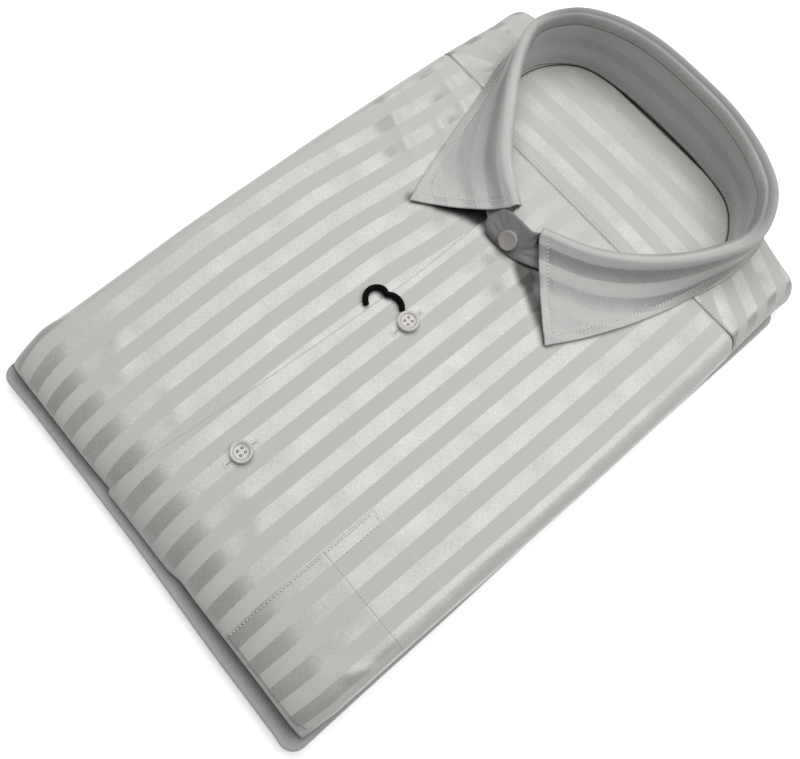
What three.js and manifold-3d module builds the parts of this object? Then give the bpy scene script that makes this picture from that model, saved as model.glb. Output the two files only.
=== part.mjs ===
// Folded striped shirt, laid on its back: +X to the viewer's right, +Y towards the collar, +Z up, in mm.
// The origin is on the flat underside, on the button line, at half the length of the folded body.
import * as THREE from 'three';
import { mergeVertices } from 'three/addons/utils/BufferGeometryUtils.js';
import Module from 'manifold-3d';

const wasm = await Module();
wasm.setup();

// ---- Driving sizes ----
const CLOTH = 1.3;            // thickness of a cloth wall
const TRIM = 1.0;             // thickness of a piece sewn on a panel
const GAP = 0.3;              // clearance between neighbouring pieces
const TOP = 27.5;             // height of the shirt's flat upper face
const FOLD_BOTTOM = 10.1;     // height where the rolled edges of the fronts end
const FLAT_X = 106;           // half width of the flat upper face
const FLAT_BOTTOM = -141;     // where the bottom roll starts
const FLAT_TOP = 173;         // where the top roll starts, at the centre
const NECK_CENTRE = { x: 1.5, y: 110.5 };
const SHOULDER_SEAM_Y = 110.5;
const INNER_SEAM_Y = 99;      // seam between the yoke and the back, inside the neck

// A roll goes out by its width and turns down to the vertical. The end rolls go on under the fold,
// less so towards the sides.
const TURN_TO_VERTICAL = 90;
const SIDE_ROLL = { width: 9, length: 21, steps: 6, turn: TURN_TO_VERTICAL };
const TOP_ROLL = { width: 5.5, length: 20, steps: 6, turn: 125 };
const BOTTOM_ROLL = { width: 27.3, length: 40, steps: 8, turn: 125 };

// Half outline of the rolled edge: where it reaches at each height of the body.
const SIDE_EDGES = [
  { y: -168, left: -110, right: 113 },
  { y: -150, left: -113, right: 114.6 },
  { y: -65, left: -115, right: 116 },
  { y: 20, left: -115, right: 116.6 },
  { y: 80, left: -113.3, right: 116 },
  { y: 110, left: -112.4, right: 114.8 },
  { y: 146, left: -109.4, right: 113.4 },
  { y: 158, left: -109.4, right: 114 },
  { y: 168, left: -107.5, right: 111 },
];
const TOP_EDGE = [
  { x: -127, y: 160 },
  { x: -116, y: 164.5 },
  { x: -106, y: 168 },
  { x: -96, y: 170 },
  { x: -66, y: 172.5 },
  { x: -45, y: 178.5 },
  { x: 45, y: 178.5 },
  { x: 66, y: 173 },
  { x: 84, y: 168.5 },
  { x: 100, y: 164 },
  { x: 112, y: 161.5 },
  { x: 127, y: 158.5 },
];

// The lap: the left front covers the right one, and its edge lies to the viewer's left of the buttons.
const LAP_LIFT = CLOTH + GAP;
const LAP_UNDER_X = 15;
const LAP_TUCK = { x: -5, half: 26, fade: 20, turn: 95 };  // the thicker lap turns under less far
const LAP_FADE = { from: 17, to: 27 };
const LAP_EDGE = [
  { y: -168, x: -28 },
  { y: -154, x: -26.4 },
  { y: -85, x: -21.2 },
  { y: -20, x: -18.3 },
  { y: 8, x: -17 },
  { y: 36, x: -17.6 },
  { y: 60, x: -18.4 },
];

// Half sections of the collar, from a front end to the centre of the back: the neck seam (base),
// the fold line on top (ridge) and the leaf's free edge (edge).
const COLLAR_RIGHT = [
  { base: [14, 55.5, 29.7], ridge: [9, 67, 45], edge: [51.5, 33, 29.2] },
  { base: [41, 72, 27.8], ridge: [34, 79, 46.5], edge: [62.5, 54, 29.2] },
  { base: [61, 96, 27.8], ridge: [55, 98, 48], edge: [72.6, 79.6, 29.2] },
  { base: [72, 122, 27.8], ridge: [70.5, 120, 52], edge: [80.6, 108.3, 29.2] },
  { base: [72, 143, 27.8], ridge: [77.4, 138.8, 60], edge: [85.5, 136, 29.4] },
  { base: [63, 157, 27.8], ridge: [68.6, 155.1, 65], edge: [80, 165, 30] },
  { base: [52.5, 164.5, 27.8], ridge: [55.5, 163.3, 67], edge: [64, 178.5, 30] },
  { base: [28, 169, 27.8], ridge: [29.7, 171.1, 68], edge: [34, 189, 30] },
];
const COLLAR_BACK = { base: [1.5, 170, 27.8], ridge: [1.5, 172.7, 68.5], edge: [1.5, 191.5, 30] };
const COLLAR_LEFT = [
  { base: [-12.5, 55.5, 29.7], ridge: [-9, 67, 45], edge: [-50.5, 33.8, 29.2] },
  { base: [-39.5, 73.5, 27.8], ridge: [-30.1, 80.2, 46.5], edge: [-58.5, 54.7, 29.2] },
  { base: [-58, 97, 27.8], ridge: [-48.4, 98.7, 48], edge: [-69, 86, 29.2] },
  { base: [-70, 121, 27.8], ridge: [-66.3, 120.2, 52], edge: [-78.3, 113, 29.2] },
  { base: [-69.5, 142, 27.8], ridge: [-74.2, 138.5, 60], edge: [-88, 139, 29.4] },
  { base: [-60, 157, 27.8], ridge: [-65.3, 154.3, 65], edge: [-80, 166, 30] },
  { base: [-49.5, 164.5, 27.8], ridge: [-51.5, 163.6, 67], edge: [-60, 179, 30] },
  { base: [-27, 169, 27.8], ridge: [-29, 171.1, 68], edge: [-33, 189, 30] },
];
// The leaf rolls over the fold line: this far inwards and down, and at each section this far outwards.
const RIDGE_RADIUS = 3;
const ROLL_REACH = [3.2, 3.2, 3.2, 3.6, 5.2, 6.5, 6.5, 6, 5.8, 5.8, 5.6, 5, 4, 3.4, 4.2, 4.4, 3.4];
const LEAF_HOOK = 2.2;        // straight stretch of the leaf inside the neck, above the band
const BAND_CLEAR = 1.0;       // from the band's top edge to the leaf
const BAND_WALL = 1.5;
const LEAF_WALL = 1.2;
const LEAF_STATIONS = 48;
// The leaf's fall beyond its roll: part of its reach, and part of its drop.
const LEAF_FALL = [
  { reach: 0.13, drop: 0.42 },
  { reach: 0.38, drop: 0.72 },
  { reach: 0.68, drop: 0.92 },
  { reach: 1, drop: 1 },
];
// The band's two ends at the centre front: the outer one laps over and has a rounded end.
const BAND_LAP = [
  { base: [-15.5, 54.5, 34.5], top: [-14.5, 58.5, 38.5] },
  { base: [-14, 52.2, 32.2], top: [-12.5, 61.5, 41.2] },
  { base: [-9, 51.2, 31], top: [-8, 63, 43.2] },
  { base: [1.5, 51.5, 30.6], top: [1.5, 63.5, 43.7] },
  { base: [8, 53, 29.6], top: [6, 64, 43.2] },
];
const BAND_UNDER = [
  { base: [-8, 54, 29], top: [-6, 65, 41.8] },
  { base: [-2, 54, 29], top: [-1, 65.5, 41.8] },
];

const POCKET = { left: 58.4, top: -82, hemBottom: -111.6, rollSteps: 4, sideSteps: 3 };

const BUTTON = { radius: 5.45, thickness: 2.8, rim: 1.1, dish: 0.7, hole: 0.75, pitch: 1.45 };
const BUTTON_YS = [-10.7, -111.4];
const BAND_BUTTON = { radius: 5.1, thickness: 2.2, x: 0.5, part: 0.36 };

// Layers that lie under the fold, from the surface up.
const LAYERS = [
  { name: 'tail_fold', z: 0, height: 3, left: -108, right: 111, bottom: -172, top: 146, corner: 9 },
  { name: 'sleeve_left', z: 3.3, height: 2.7, left: -111, right: -4, bottom: -168, top: 140, corner: 8 },
  { name: 'sleeve_right', z: 3.3, height: 2.7, left: 4, right: 113, bottom: -169, top: 140, corner: 8 },
  { name: 'back_fold', z: 6.3, height: 3, left: -112, right: 116.5, bottom: -177.3, top: 150, corner: 8 },
];
// The lower edge of the back isn't straight: it rises this much above the layer's bottom.
const BACK_EDGE = [
  { x: -112, rise: 1.5 },
  { x: -85, rise: 2.4 },
  { x: -40, rise: 2.8 },
  { x: 0, rise: 2.4 },
  { x: 60, rise: 0.7 },
  { x: 116, rise: -0.2 },
];
const LAYER_ARC_STEPS = 5;
const CORE = { bottom: 9.6, top: 25.3, edgeInset: 5.5 };

const CORD_RADIUS = 1.6;
const CORD_POINTS = [
  [-6.2, -9.5, 31.1], [-8.4, -7.8, 31.1], [-11.3, -7, 31.1], [-14.6, -7.6, 31.1], [-17.4, -9.5, 31.1],
  [-20.3, -9.1, 30.8], [-23.4, -10.2, 29.6], [-25, -13.2, 29.4], [-24.4, -16.8, 29.4], [-22, -19.4, 29.4],
  [-20, -20.4, 29.4],
];
const CORD_SIDES = 8;
const CORD_STEPS = 30;

// ---- Materials ----
const cloth = (colour) => new THREE.MeshStandardMaterial({ color: colour, roughness: 0.75, metalness: 0 });
const frontCloth = cloth('#cfcdc8');
const collarCloth = cloth('#c9c7c3');
const hiddenCloth = cloth('#bdbbb7');
const buttonPearl = new THREE.MeshStandardMaterial({ color: '#dedbd4', roughness: 0.25, metalness: 0 });
const bandButtonPlastic = new THREE.MeshStandardMaterial({ color: '#a9a6a2', roughness: 0.45, metalness: 0 });
const blackCord = new THREE.MeshStandardMaterial({ color: '#0c0c0e', roughness: 0.8, metalness: 0 });

// ---- Curves from tables ----
const smooth = (t) => {
  const s = THREE.MathUtils.clamp(t, 0, 1);
  return s * s * (3 - 2 * s);
};

function lookUp(rows, key, at, value) {
  const next = rows.findIndex((row) => row[key] > at);
  if (next === 0) return rows[0][value];
  if (next < 0) return rows[rows.length - 1][value];
  const [low, high] = [rows[next - 1], rows[next]];
  const part = (at - low[key]) / (high[key] - low[key]);
  return THREE.MathUtils.lerp(low[value], high[value], part);
}

function spline(points) {
  return new THREE.CatmullRomCurve3(points.map((p) => new THREE.Vector3(...p)), false, 'centripetal');
}

// ---- The shirt's outer surface ----
// a runs across and b along the cloth. Past the flat face both go on round the rolled edges.
function rollAt(past, roll, turnDegrees) {
  const part = THREE.MathUtils.clamp(past / roll.length, 0, 1);
  const lastTurn = THREE.MathUtils.degToRad(turnDegrees);
  const turn = lastTurn * part;
  const level = (Math.cos(turn) - Math.cos(lastTurn)) / (1 - Math.cos(lastTurn));
  return { out: roll.width * Math.sin(turn), level, part };
}

const OUTSIDE = { bottom: FOLD_BOTTOM, top: TOP, edgeInset: 0 };

// The top edge is drawn down towards the shoulders: this far at a, by the part that holds at b.
const topShift = (a) => lookUp(TOP_EDGE, 'x', a, 'y') - TOP_ROLL.width - FLAT_TOP;
const topPart = (b) => smooth((b - SHOULDER_SEAM_Y) / (FLAT_TOP - SHOULDER_SEAM_Y));

// The place b along the cloth that lies at y.
function alongAt(a, y) {
  let b = y;
  for (let round = 0; round < 8; round += 1) b = y - topShift(a) * topPart(b);
  return b;
}

function surface(a, b, shape = OUTSIDE) {
  const side = rollAt(Math.abs(a) - FLAT_X, SIDE_ROLL, SIDE_ROLL.turn);
  const atTop = b > 0;
  const endRoll = atTop ? TOP_ROLL : BOTTOM_ROLL;
  const lapPart = atTop ? 0 : 1 - smooth((Math.abs(a - LAP_TUCK.x) - LAP_TUCK.half) / LAP_TUCK.fade);
  const middleTurn = THREE.MathUtils.lerp(endRoll.turn, LAP_TUCK.turn, lapPart);
  const endTurn = THREE.MathUtils.lerp(middleTurn, TURN_TO_VERTICAL, side.part);
  const end = rollAt(atTop ? b - FLAT_TOP : FLAT_BOTTOM - b, endRoll, endTurn);
  const flatY = THREE.MathUtils.clamp(b, FLAT_BOTTOM, FLAT_TOP);
  const flatX = THREE.MathUtils.clamp(a, -FLAT_X, FLAT_X);
  const y = flatY + topShift(a) * topPart(flatY) + (atTop ? end.out : -end.out);
  const reach = a < 0 ? -lookUp(SIDE_EDGES, 'y', y, 'left') : lookUp(SIDE_EDGES, 'y', y, 'right');
  const sideShift = reach - SIDE_ROLL.width - FLAT_X;
  const sidePart = smooth((Math.abs(flatX) - FLAT_X / 2) / (FLAT_X / 2));
  const x = flatX + Math.sign(a) * (sideShift * sidePart + side.out);
  const z = shape.bottom + (shape.top - shape.bottom) * side.level * end.level;
  const squeezeX = Math.sign(a) * shape.edgeInset * smooth(2 * side.part);
  const squeezeY = (atTop ? 1 : -1) * shape.edgeInset * smooth(2 * end.part);
  return new THREE.Vector3(x - squeezeX, y - squeezeY, z);
}

const steps = (from, to, count) =>
  Array.from({ length: count + 1 }, (_, i) => THREE.MathUtils.lerp(from, to, i / count));
const counts = (count) => Array.from({ length: count }, (_, i) => i);
const rollSteps = (flat, roll, direction, count = roll.steps) =>
  counts(count).map((i) => flat + direction * ((i + 1) / roll.steps) * roll.length);

// ---- Solids from grids ----
// A wall stands between two offsets of a grid of surface points, rows[i][j].
// Its outer side faces along (step in j) x (step in i).
function wall(rows, outer, inner) {
  const [rowCount, columnCount] = [rows.length, rows[0].length];
  // At a corner of the grid the normal is that of the next point inwards.
  const normalAt = (row, column) => {
    const corner = row % (rowCount - 1) === 0 && column % (columnCount - 1) === 0;
    const [i, j] = corner
      ? [THREE.MathUtils.clamp(row, 1, rowCount - 2), THREE.MathUtils.clamp(column, 1, columnCount - 2)]
      : [row, column];
    const alongRow = rows[i][Math.min(j + 1, columnCount - 1)].clone().sub(rows[i][Math.max(j - 1, 0)]);
    const acrossRows = rows[Math.min(i + 1, rowCount - 1)][j].clone().sub(rows[Math.max(i - 1, 0)][j]);
    return alongRow.cross(acrossRows).normalize();
  };
  const sheets = [outer, inner].map((offset) =>
    rows.map((row, i) => row.map((point, j) => point.clone().addScaledVector(normalAt(i, j), offset))));
  const positions = sheets.flat(2).flatMap((p) => [p.x, p.y, p.z]);
  const index = [];
  const vertex = (sheet, i, j) => (sheet * rowCount + i) * columnCount + j;
  const quad = (p, q, r, s) => index.push(p, q, r, p, r, s);
  for (let i = 0; i < rowCount - 1; i += 1) {
    for (let j = 0; j < columnCount - 1; j += 1) {
      quad(vertex(0, i, j), vertex(0, i, j + 1), vertex(0, i + 1, j + 1), vertex(0, i + 1, j));
      quad(vertex(1, i, j), vertex(1, i + 1, j), vertex(1, i + 1, j + 1), vertex(1, i, j + 1));
    }
  }
  for (let i = 0; i < rowCount - 1; i += 1) {
    const last = columnCount - 1;
    quad(vertex(0, i, 0), vertex(0, i + 1, 0), vertex(1, i + 1, 0), vertex(1, i, 0));
    quad(vertex(0, i, last), vertex(1, i, last), vertex(1, i + 1, last), vertex(0, i + 1, last));
  }
  for (let j = 0; j < columnCount - 1; j += 1) {
    const last = rowCount - 1;
    quad(vertex(0, 0, j), vertex(1, 0, j), vertex(1, 0, j + 1), vertex(0, 0, j + 1));
    quad(vertex(0, last, j), vertex(0, last, j + 1), vertex(1, last, j + 1), vertex(1, last, j));
  }
  return geometryOf(positions, index);
}

// Rings of equal length, from the bottom up, closed by a fan at each end.
function ringStack(rings) {
  const count = rings[0].length;
  const centreOf = (ring) =>
    ring.reduce((sum, p) => sum.add(p), new THREE.Vector3()).divideScalar(ring.length);
  const points = [...rings.flat(), centreOf(rings[0]), centreOf(rings[rings.length - 1])];
  const index = [];
  const [bottomCentre, topCentre] = [points.length - 2, points.length - 1];
  for (let k = 0; k < count; k += 1) {
    const next = (k + 1) % count;
    for (let ring = 0; ring < rings.length - 1; ring += 1) {
      const [low, high] = [ring * count, (ring + 1) * count];
      index.push(low + k, low + next, high + next, low + k, high + next, high + k);
    }
    const top = (rings.length - 1) * count;
    index.push(bottomCentre, next, k, topCentre, top + k, top + next);
  }
  return geometryOf(points.flatMap((p) => [p.x, p.y, p.z]), index);
}

function geometryOf(positions, index) {
  const geometry = new THREE.BufferGeometry();
  geometry.setAttribute('position', new THREE.Float32BufferAttribute(positions, 3));
  geometry.setIndex(index);
  geometry.computeVertexNormals();
  return geometry;
}

// ---- Neck curve ----
const COLLAR_ROWS = [...COLLAR_RIGHT, COLLAR_BACK, ...[...COLLAR_LEFT].reverse()];
const neckCurve = spline(COLLAR_ROWS.map((row) => row.base));
const ridgeCurve = spline(COLLAR_ROWS.map((row) => row.ridge));
const edgeCurve = spline(COLLAR_ROWS.map((row) => row.edge));
const reachCurve = spline(ROLL_REACH.map((reach, i) => [i, reach, 0]));
const NECK_SAMPLES = neckCurve.getPoints(COLLAR_ROWS.length * 8);

// Where a ray from the neck's centre meets the neck seam.
function neckRadius(angle) {
  const polar = NECK_SAMPLES.map((p) => {
    const [dx, dy] = [p.x - NECK_CENTRE.x, p.y - NECK_CENTRE.y];
    const turn = THREE.MathUtils.euclideanModulo(Math.atan2(dy, dx) + Math.PI / 2, 2 * Math.PI);
    return { turn, radius: Math.hypot(dx, dy) };
  });
  return lookUp(polar, 'turn', angle + Math.PI / 2, 'radius');
}

// The neckline's y at an x on one of the fronts, with the neck's front at the middle.
const NECK_FRONT = [
  ...[...COLLAR_LEFT.slice(0, 3)].reverse(),
  { base: [0, 52.5] },
  ...COLLAR_RIGHT.slice(0, 3),
].map((row) => ({ x: row.base[0], y: row.base[1] }));
const SHOULDER_REACH = 69;
const NECK_SEAM_GAP = 1;      // from the neck seam out to the cut edge of the fronts and the yoke
// The pieces inside the neck end this far outside the seam: under the band behind the shoulders.
const NECK_TUCK = [
  { y: 104, out: -0.9 },
  { y: 114, out: 0.2 },
];

function frontTop(a) {
  const seam = SHOULDER_SEAM_Y - GAP / 2;
  if (Math.abs(a) >= SHOULDER_REACH) return seam;
  const corner = [{ x: -SHOULDER_REACH, y: seam }, ...NECK_FRONT, { x: SHOULDER_REACH, y: seam }];
  return Math.min(seam, lookUp(corner, 'x', a, 'y') - NECK_SEAM_GAP);
}

// ---- Panels ----
const FRONT_ROWS = 14;        // steps along the flat part of a front
const lapLift = (a) => LAP_LIFT * (1 - smooth((a - LAP_FADE.from) / (LAP_FADE.to - LAP_FADE.from)));

function frontRows(acrossAt, liftAt) {
  const along = steps(0, 1, FRONT_ROWS);
  const bottom = rollSteps(FLAT_BOTTOM, BOTTOM_ROLL, -1);
  const count = acrossAt(0).length;
  return Array.from({ length: count }, (_, i) => {
    const flatPoint = (part) => {
      const b = THREE.MathUtils.lerp(frontTop(acrossAt(0)[i]), FLAT_BOTTOM, part);
      return [acrossAt(b)[i], b];
    };
    const places = [...along.map(flatPoint), ...bottom.map((b) => [acrossAt(b)[i], b])];
    return places.map(([a, b]) => liftedSurface(a, b, liftAt(a)));
  });
}

function liftedSurface(a, b, lift) {
  const point = surface(a, b);
  const ahead = surface(a, b - 1).sub(surface(a, b + 1));
  const aside = surface(a + 1, b).sub(point);
  return point.addScaledVector(ahead.cross(aside).normalize(), lift);
}

function leftFront() {
  const across = (b) => {
    const edge = lookUp(LAP_EDGE, 'y', b, 'x');
    return [...steps(edge, LAP_FADE.from, 3), ...steps(LAP_FADE.from, FLAT_X, 9).slice(1),
      ...rollSteps(FLAT_X, SIDE_ROLL, 1)];
  };
  return wall(frontRows(across, lapLift), 0, -CLOTH);
}

function rightFront() {
  const across = () => [...rollSteps(-FLAT_X, SIDE_ROLL, -1).reverse(), ...steps(-FLAT_X, LAP_UNDER_X, 11)];
  return wall(frontRows(across, () => 0), 0, -CLOTH);
}

// Rays from the neck's centre carry the yoke from one shoulder seam to the other.
function outerYoke() {
  const flatStops = [0, 0.35, 0.7, 1];
  const corners = [FLAT_X, -FLAT_X].map((a) => Math.atan2(FLAT_TOP - NECK_CENTRE.y, a - NECK_CENTRE.x));
  const seam = Math.atan2(GAP / 2, FLAT_X);
  const fan = THREE.MathUtils.degToRad(7);
  const stretches = [
    [seam, corners[0] - fan, 4],
    [corners[0] - fan, corners[0], 3],
    [corners[0], corners[0] + fan, 3],
    [corners[0] + fan, corners[1] - fan, 10],
    [corners[1] - fan, corners[1], 3],
    [corners[1], corners[1] + fan, 3],
    [corners[1] + fan, Math.PI - seam, 4],
  ];
  const angles = [seam, ...stretches.flatMap(([from, to, count]) => steps(from, to, count).slice(1))];
  const rows = angles.map((angle) => {
    const [dx, dy] = [Math.cos(angle), Math.sin(angle)];
    const inner = neckRadius(angle) + NECK_SEAM_GAP;
    const sideReach = (FLAT_X - Math.sign(dx) * NECK_CENTRE.x) / Math.abs(dx);
    const topReach = (FLAT_TOP - NECK_CENTRE.y) / dy;
    const flatReach = Math.min(sideReach, topReach);
    const nearCorner = Math.max(0, ...corners.map((corner) => 1 - Math.abs(angle - corner) / fan));
    const overSide = Math.sign(dx) * SIDE_ROLL.length * (sideReach < topReach ? 1 : nearCorner);
    const overTop = TOP_ROLL.length * (sideReach < topReach ? nearCorner : 1);
    const startA = NECK_CENTRE.x + inner * dx;
    const start = { a: startA, b: alongAt(startA, NECK_CENTRE.y + inner * dy) };
    const stop = { a: NECK_CENTRE.x + flatReach * dx, b: NECK_CENTRE.y + flatReach * dy };
    const flat = flatStops.map((part) => surface(
      THREE.MathUtils.lerp(start.a, stop.a, part),
      THREE.MathUtils.lerp(start.b, stop.b, part),
    ));
    const past = steps(0, 1, SIDE_ROLL.steps).slice(1).map((part) =>
      surface(stop.a + part * overSide, stop.b + part * overTop));
    return [...flat, ...past];
  });
  return wall(rows, 0, -CLOTH);
}

// A piece inside the neck, from one y to another.
function neckPiece(fromY, toY, rowCount) {
  const reach = (side, y) => {
    const samples = NECK_SAMPLES.filter((p) => side * p.x > 0).sort((p, q) => p.y - q.y);
    return lookUp(samples, 'y', y, 'x') + side * lookUp(NECK_TUCK, 'y', y, 'out');
  };
  const levels = steps(toY, fromY, rowCount).map((y) => ({ y, left: reach(-1, y), right: reach(1, y) }));
  const rows = steps(0, 1, 12).map((part) => levels.map(({ y, left, right }) => {
    const a = THREE.MathUtils.lerp(left, right, part);
    return surface(a, alongAt(a, y));
  }));
  return wall(rows, 0, -CLOTH);
}

// ---- Collar ----
const UP = new THREE.Vector3(0, 0, 1);

function collarStation(part) {
  const ridge = ridgeCurve.getPoint(part);
  const tangent = ridgeCurve.getTangent(part).setZ(0).normalize();
  const out = new THREE.Vector3().crossVectors(tangent, UP);
  const base = neckCurve.getPoint(part);
  const down = base.clone().sub(ridge).normalize();
  const centre = ridge.clone().addScaledVector(UP, -RIDGE_RADIUS);
  const inside = centre.clone().addScaledVector(out, -RIDGE_RADIUS);
  const reach = reachCurve.getPoint(part).y;
  return { ridge, out, base, down, centre, inside, reach, edge: edgeCurve.getPoint(part) };
}

function collarLeaf() {
  const rows = steps(0, 1, LEAF_STATIONS).map((part) => {
    const { ridge, out, down, centre, inside, reach: rollReach, edge } = collarStation(part);
    const hook = inside.clone().addScaledVector(down, LEAF_HOOK);
    const over = [165, 125, 90, 55, 20].map((degrees) => {
      const turn = THREE.MathUtils.degToRad(degrees);
      return centre.clone()
        .addScaledVector(out, (degrees > 90 ? RIDGE_RADIUS : rollReach) * Math.cos(turn))
        .addScaledVector(UP, RIDGE_RADIUS * Math.sin(turn));
    });
    const brow = ridge.clone().addScaledVector(out, rollReach);
    const fall = LEAF_FALL.map(({ reach, drop }) => {
      const point = brow.clone().lerp(edge, reach);
      return point.setZ(THREE.MathUtils.lerp(ridge.z, edge.z, drop));
    });
    return [hook, ...over, ...fall];
  });
  return wall(rows, 0, -LEAF_WALL);
}

function collarBand() {
  const section = (base, top) => [0, 0.34, 0.67, 1].map((part) => base.clone().lerp(top, part));
  const ring = steps(0, 1, LEAF_STATIONS - 8).map((part) => {
    const { base, down, inside } = collarStation(part);
    return section(base, inside.clone().addScaledVector(down, LEAF_HOOK + BAND_CLEAR));
  });
  const ends = (rows) => rows.map(({ base, top }) =>
    section(new THREE.Vector3(...base), new THREE.Vector3(...top)));
  return wall([...ends(BAND_LAP), ...ring, ...ends(BAND_UNDER)], 0, -BAND_WALL);
}

// ---- Pocket ----
function pocketWall(fromB, toB, thickness) {
  const across = [...steps(POCKET.left, FLAT_X, 4), ...rollSteps(FLAT_X, SIDE_ROLL, 1, POCKET.sideSteps)];
  const along = toB < FLAT_BOTTOM
    ? [...steps(fromB, FLAT_BOTTOM, 2), ...rollSteps(FLAT_BOTTOM, BOTTOM_ROLL, -1, POCKET.rollSteps)]
    : steps(fromB, toB, 2);
  const rows = across.map((a) => along.map((b) => surface(a, b)));
  return wall(rows, GAP + thickness, GAP);
}

// ---- Buttons ----
function solidOf(geometry) {
  geometry.deleteAttribute('normal');
  geometry.deleteAttribute('uv');
  const merged = mergeVertices(geometry, 1e-4);
  const mesh = new wasm.Mesh({
    numProp: 3,
    vertProperties: new Float32Array(merged.attributes.position.array),
    triVerts: new Uint32Array(merged.index.array),
  });
  return new wasm.Manifold(mesh);
}

function geometryFrom(solid) {
  const mesh = solid.getMesh();
  return geometryOf(Array.from(mesh.vertProperties), Array.from(mesh.triVerts));
}

function frontButton() {
  const { radius, thickness, rim, dish, hole, pitch } = BUTTON;
  const profile = [
    [0, 0], [radius - 1.2, 0], [radius, 1], [radius, thickness - 0.7], [radius - rim / 2, thickness],
    [radius - rim, thickness - 0.2], [radius - rim - 0.7, thickness - dish], [0, thickness - dish],
  ].map(([r, z]) => new THREE.Vector2(r, z));
  let body = solidOf(new THREE.LatheGeometry(profile, 24).rotateX(Math.PI / 2));
  for (const [sx, sy] of [[-1, -1], [-1, 1], [1, -1], [1, 1]]) {
    const drill = new THREE.CylinderGeometry(hole, hole, thickness * 3, 10).rotateX(Math.PI / 2);
    drill.translate(sx * pitch, sy * pitch, 0);
    body = body.subtract(solidOf(drill));
  }
  return geometryFrom(body);
}

function bandButton() {
  const { radius, thickness } = BAND_BUTTON;
  const profile = [
    [0, 0], [radius - 0.6, 0], [radius, 0.6], [radius - 0.3, thickness - 0.5], [radius - 1.2, thickness],
    [0, thickness],
  ].map(([r, z]) => new THREE.Vector2(r, z));
  return new THREE.LatheGeometry(profile, 24).rotateX(Math.PI / 2);
}

// ---- Hidden layers ----
function roundedOutline({ left, right, bottom, top, corner }, rise, z) {
  const corners = [
    { x: right - corner, y: bottom + corner, start: -Math.PI / 2 },
    { x: right - corner, y: top - corner, start: 0 },
    { x: left + corner, y: top - corner, start: Math.PI / 2 },
    { x: left + corner, y: bottom + corner, start: Math.PI },
  ];
  const rounds = corners.flatMap(({ x, y, start }) =>
    steps(start, start + Math.PI / 2, LAYER_ARC_STEPS).map((turn) =>
      new THREE.Vector3(x + corner * Math.cos(turn), y + corner * Math.sin(turn), z)));
  const lowerEdge = steps(left + corner, right - corner, 8).slice(1, -1).map((x) => new THREE.Vector3(x, bottom, z));
  for (const point of [...rounds, ...lowerEdge]) {
    point.y += lookUp(rise, 'x', point.x, 'rise') * (top - point.y) / (top - bottom);
  }
  return [...rounds, ...lowerEdge];
}

const STRAIGHT_EDGE = [{ x: 0, rise: 0 }];

function foldedLayer({ name, z, height, left, right, bottom, top, corner }) {
  const rise = name === 'back_fold' ? BACK_EDGE : STRAIGHT_EDGE;
  return ringStack(steps(0, 1, 4).map((part) => {
    const inset = (height / 2) * (1 - Math.sin(Math.PI * part)) * 0.8;
    return roundedOutline({
      left: left + inset, right: right - inset, bottom: bottom + inset, top: top - inset, corner: corner - inset,
    }, rise, z + height * part);
  }));
}

function foldedCore() {
  const across = [...rollSteps(-FLAT_X, SIDE_ROLL, -1).reverse(), ...steps(-FLAT_X, FLAT_X, 12),
    ...rollSteps(FLAT_X, SIDE_ROLL, 1)];
  const along = [...rollSteps(FLAT_TOP, TOP_ROLL, 1).reverse(), FLAT_TOP, 140, SHOULDER_SEAM_Y, 40, -50,
    FLAT_BOTTOM, ...rollSteps(FLAT_BOTTOM, BOTTOM_ROLL, -1)];
  const rows = across.map((a) => along.map((b) => surface(a, b, CORE)));
  return closedDome(rows);
}

// A grid that bulges upwards, closed underneath by a flat fan from its rim.
function closedDome(rows) {
  const [rowCount, columnCount] = [rows.length, rows[0].length];
  const points = rows.flat();
  const index = [];
  const vertex = (i, j) => i * columnCount + j;
  for (let i = 0; i < rowCount - 1; i += 1) {
    for (let j = 0; j < columnCount - 1; j += 1) {
      index.push(vertex(i, j), vertex(i + 1, j + 1), vertex(i + 1, j));
      index.push(vertex(i, j), vertex(i, j + 1), vertex(i + 1, j + 1));
    }
  }
  const [lastRow, lastColumn] = [rowCount - 1, columnCount - 1];
  const rim = [
    ...counts(lastRow).map((i) => vertex(i, 0)),
    ...counts(lastColumn).map((j) => vertex(lastRow, j)),
    ...counts(lastRow).map((i) => vertex(lastRow - i, lastColumn)),
    ...counts(lastColumn).map((j) => vertex(0, lastColumn - j)),
  ];
  points.push(new THREE.Vector3(0, 0, CORE.bottom));
  rim.forEach((v, k) => index.push(points.length - 1, v, rim[(k + 1) % rim.length]));
  return geometryOf(points.flatMap((p) => [p.x, p.y, p.z]), index);
}

// ---- Cord loop ----
function cordLoop() {
  const section = new THREE.Shape(counts(CORD_SIDES).map((k) => {
    const turn = (2 * Math.PI * k) / CORD_SIDES;
    return new THREE.Vector2(CORD_RADIUS * Math.cos(turn), CORD_RADIUS * Math.sin(turn));
  }));
  const path = spline(CORD_POINTS);
  return new THREE.ExtrudeGeometry(section, { steps: CORD_STEPS, extrudePath: path, bevelEnabled: false });
}

// ---- Assembly ----
const shirt = new THREE.Group();

function add(name, geometry, material, parent = shirt) {
  const mesh = new THREE.Mesh(geometry, material.clone());
  mesh.name = name;
  parent.add(mesh);
  return mesh;
}

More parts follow.
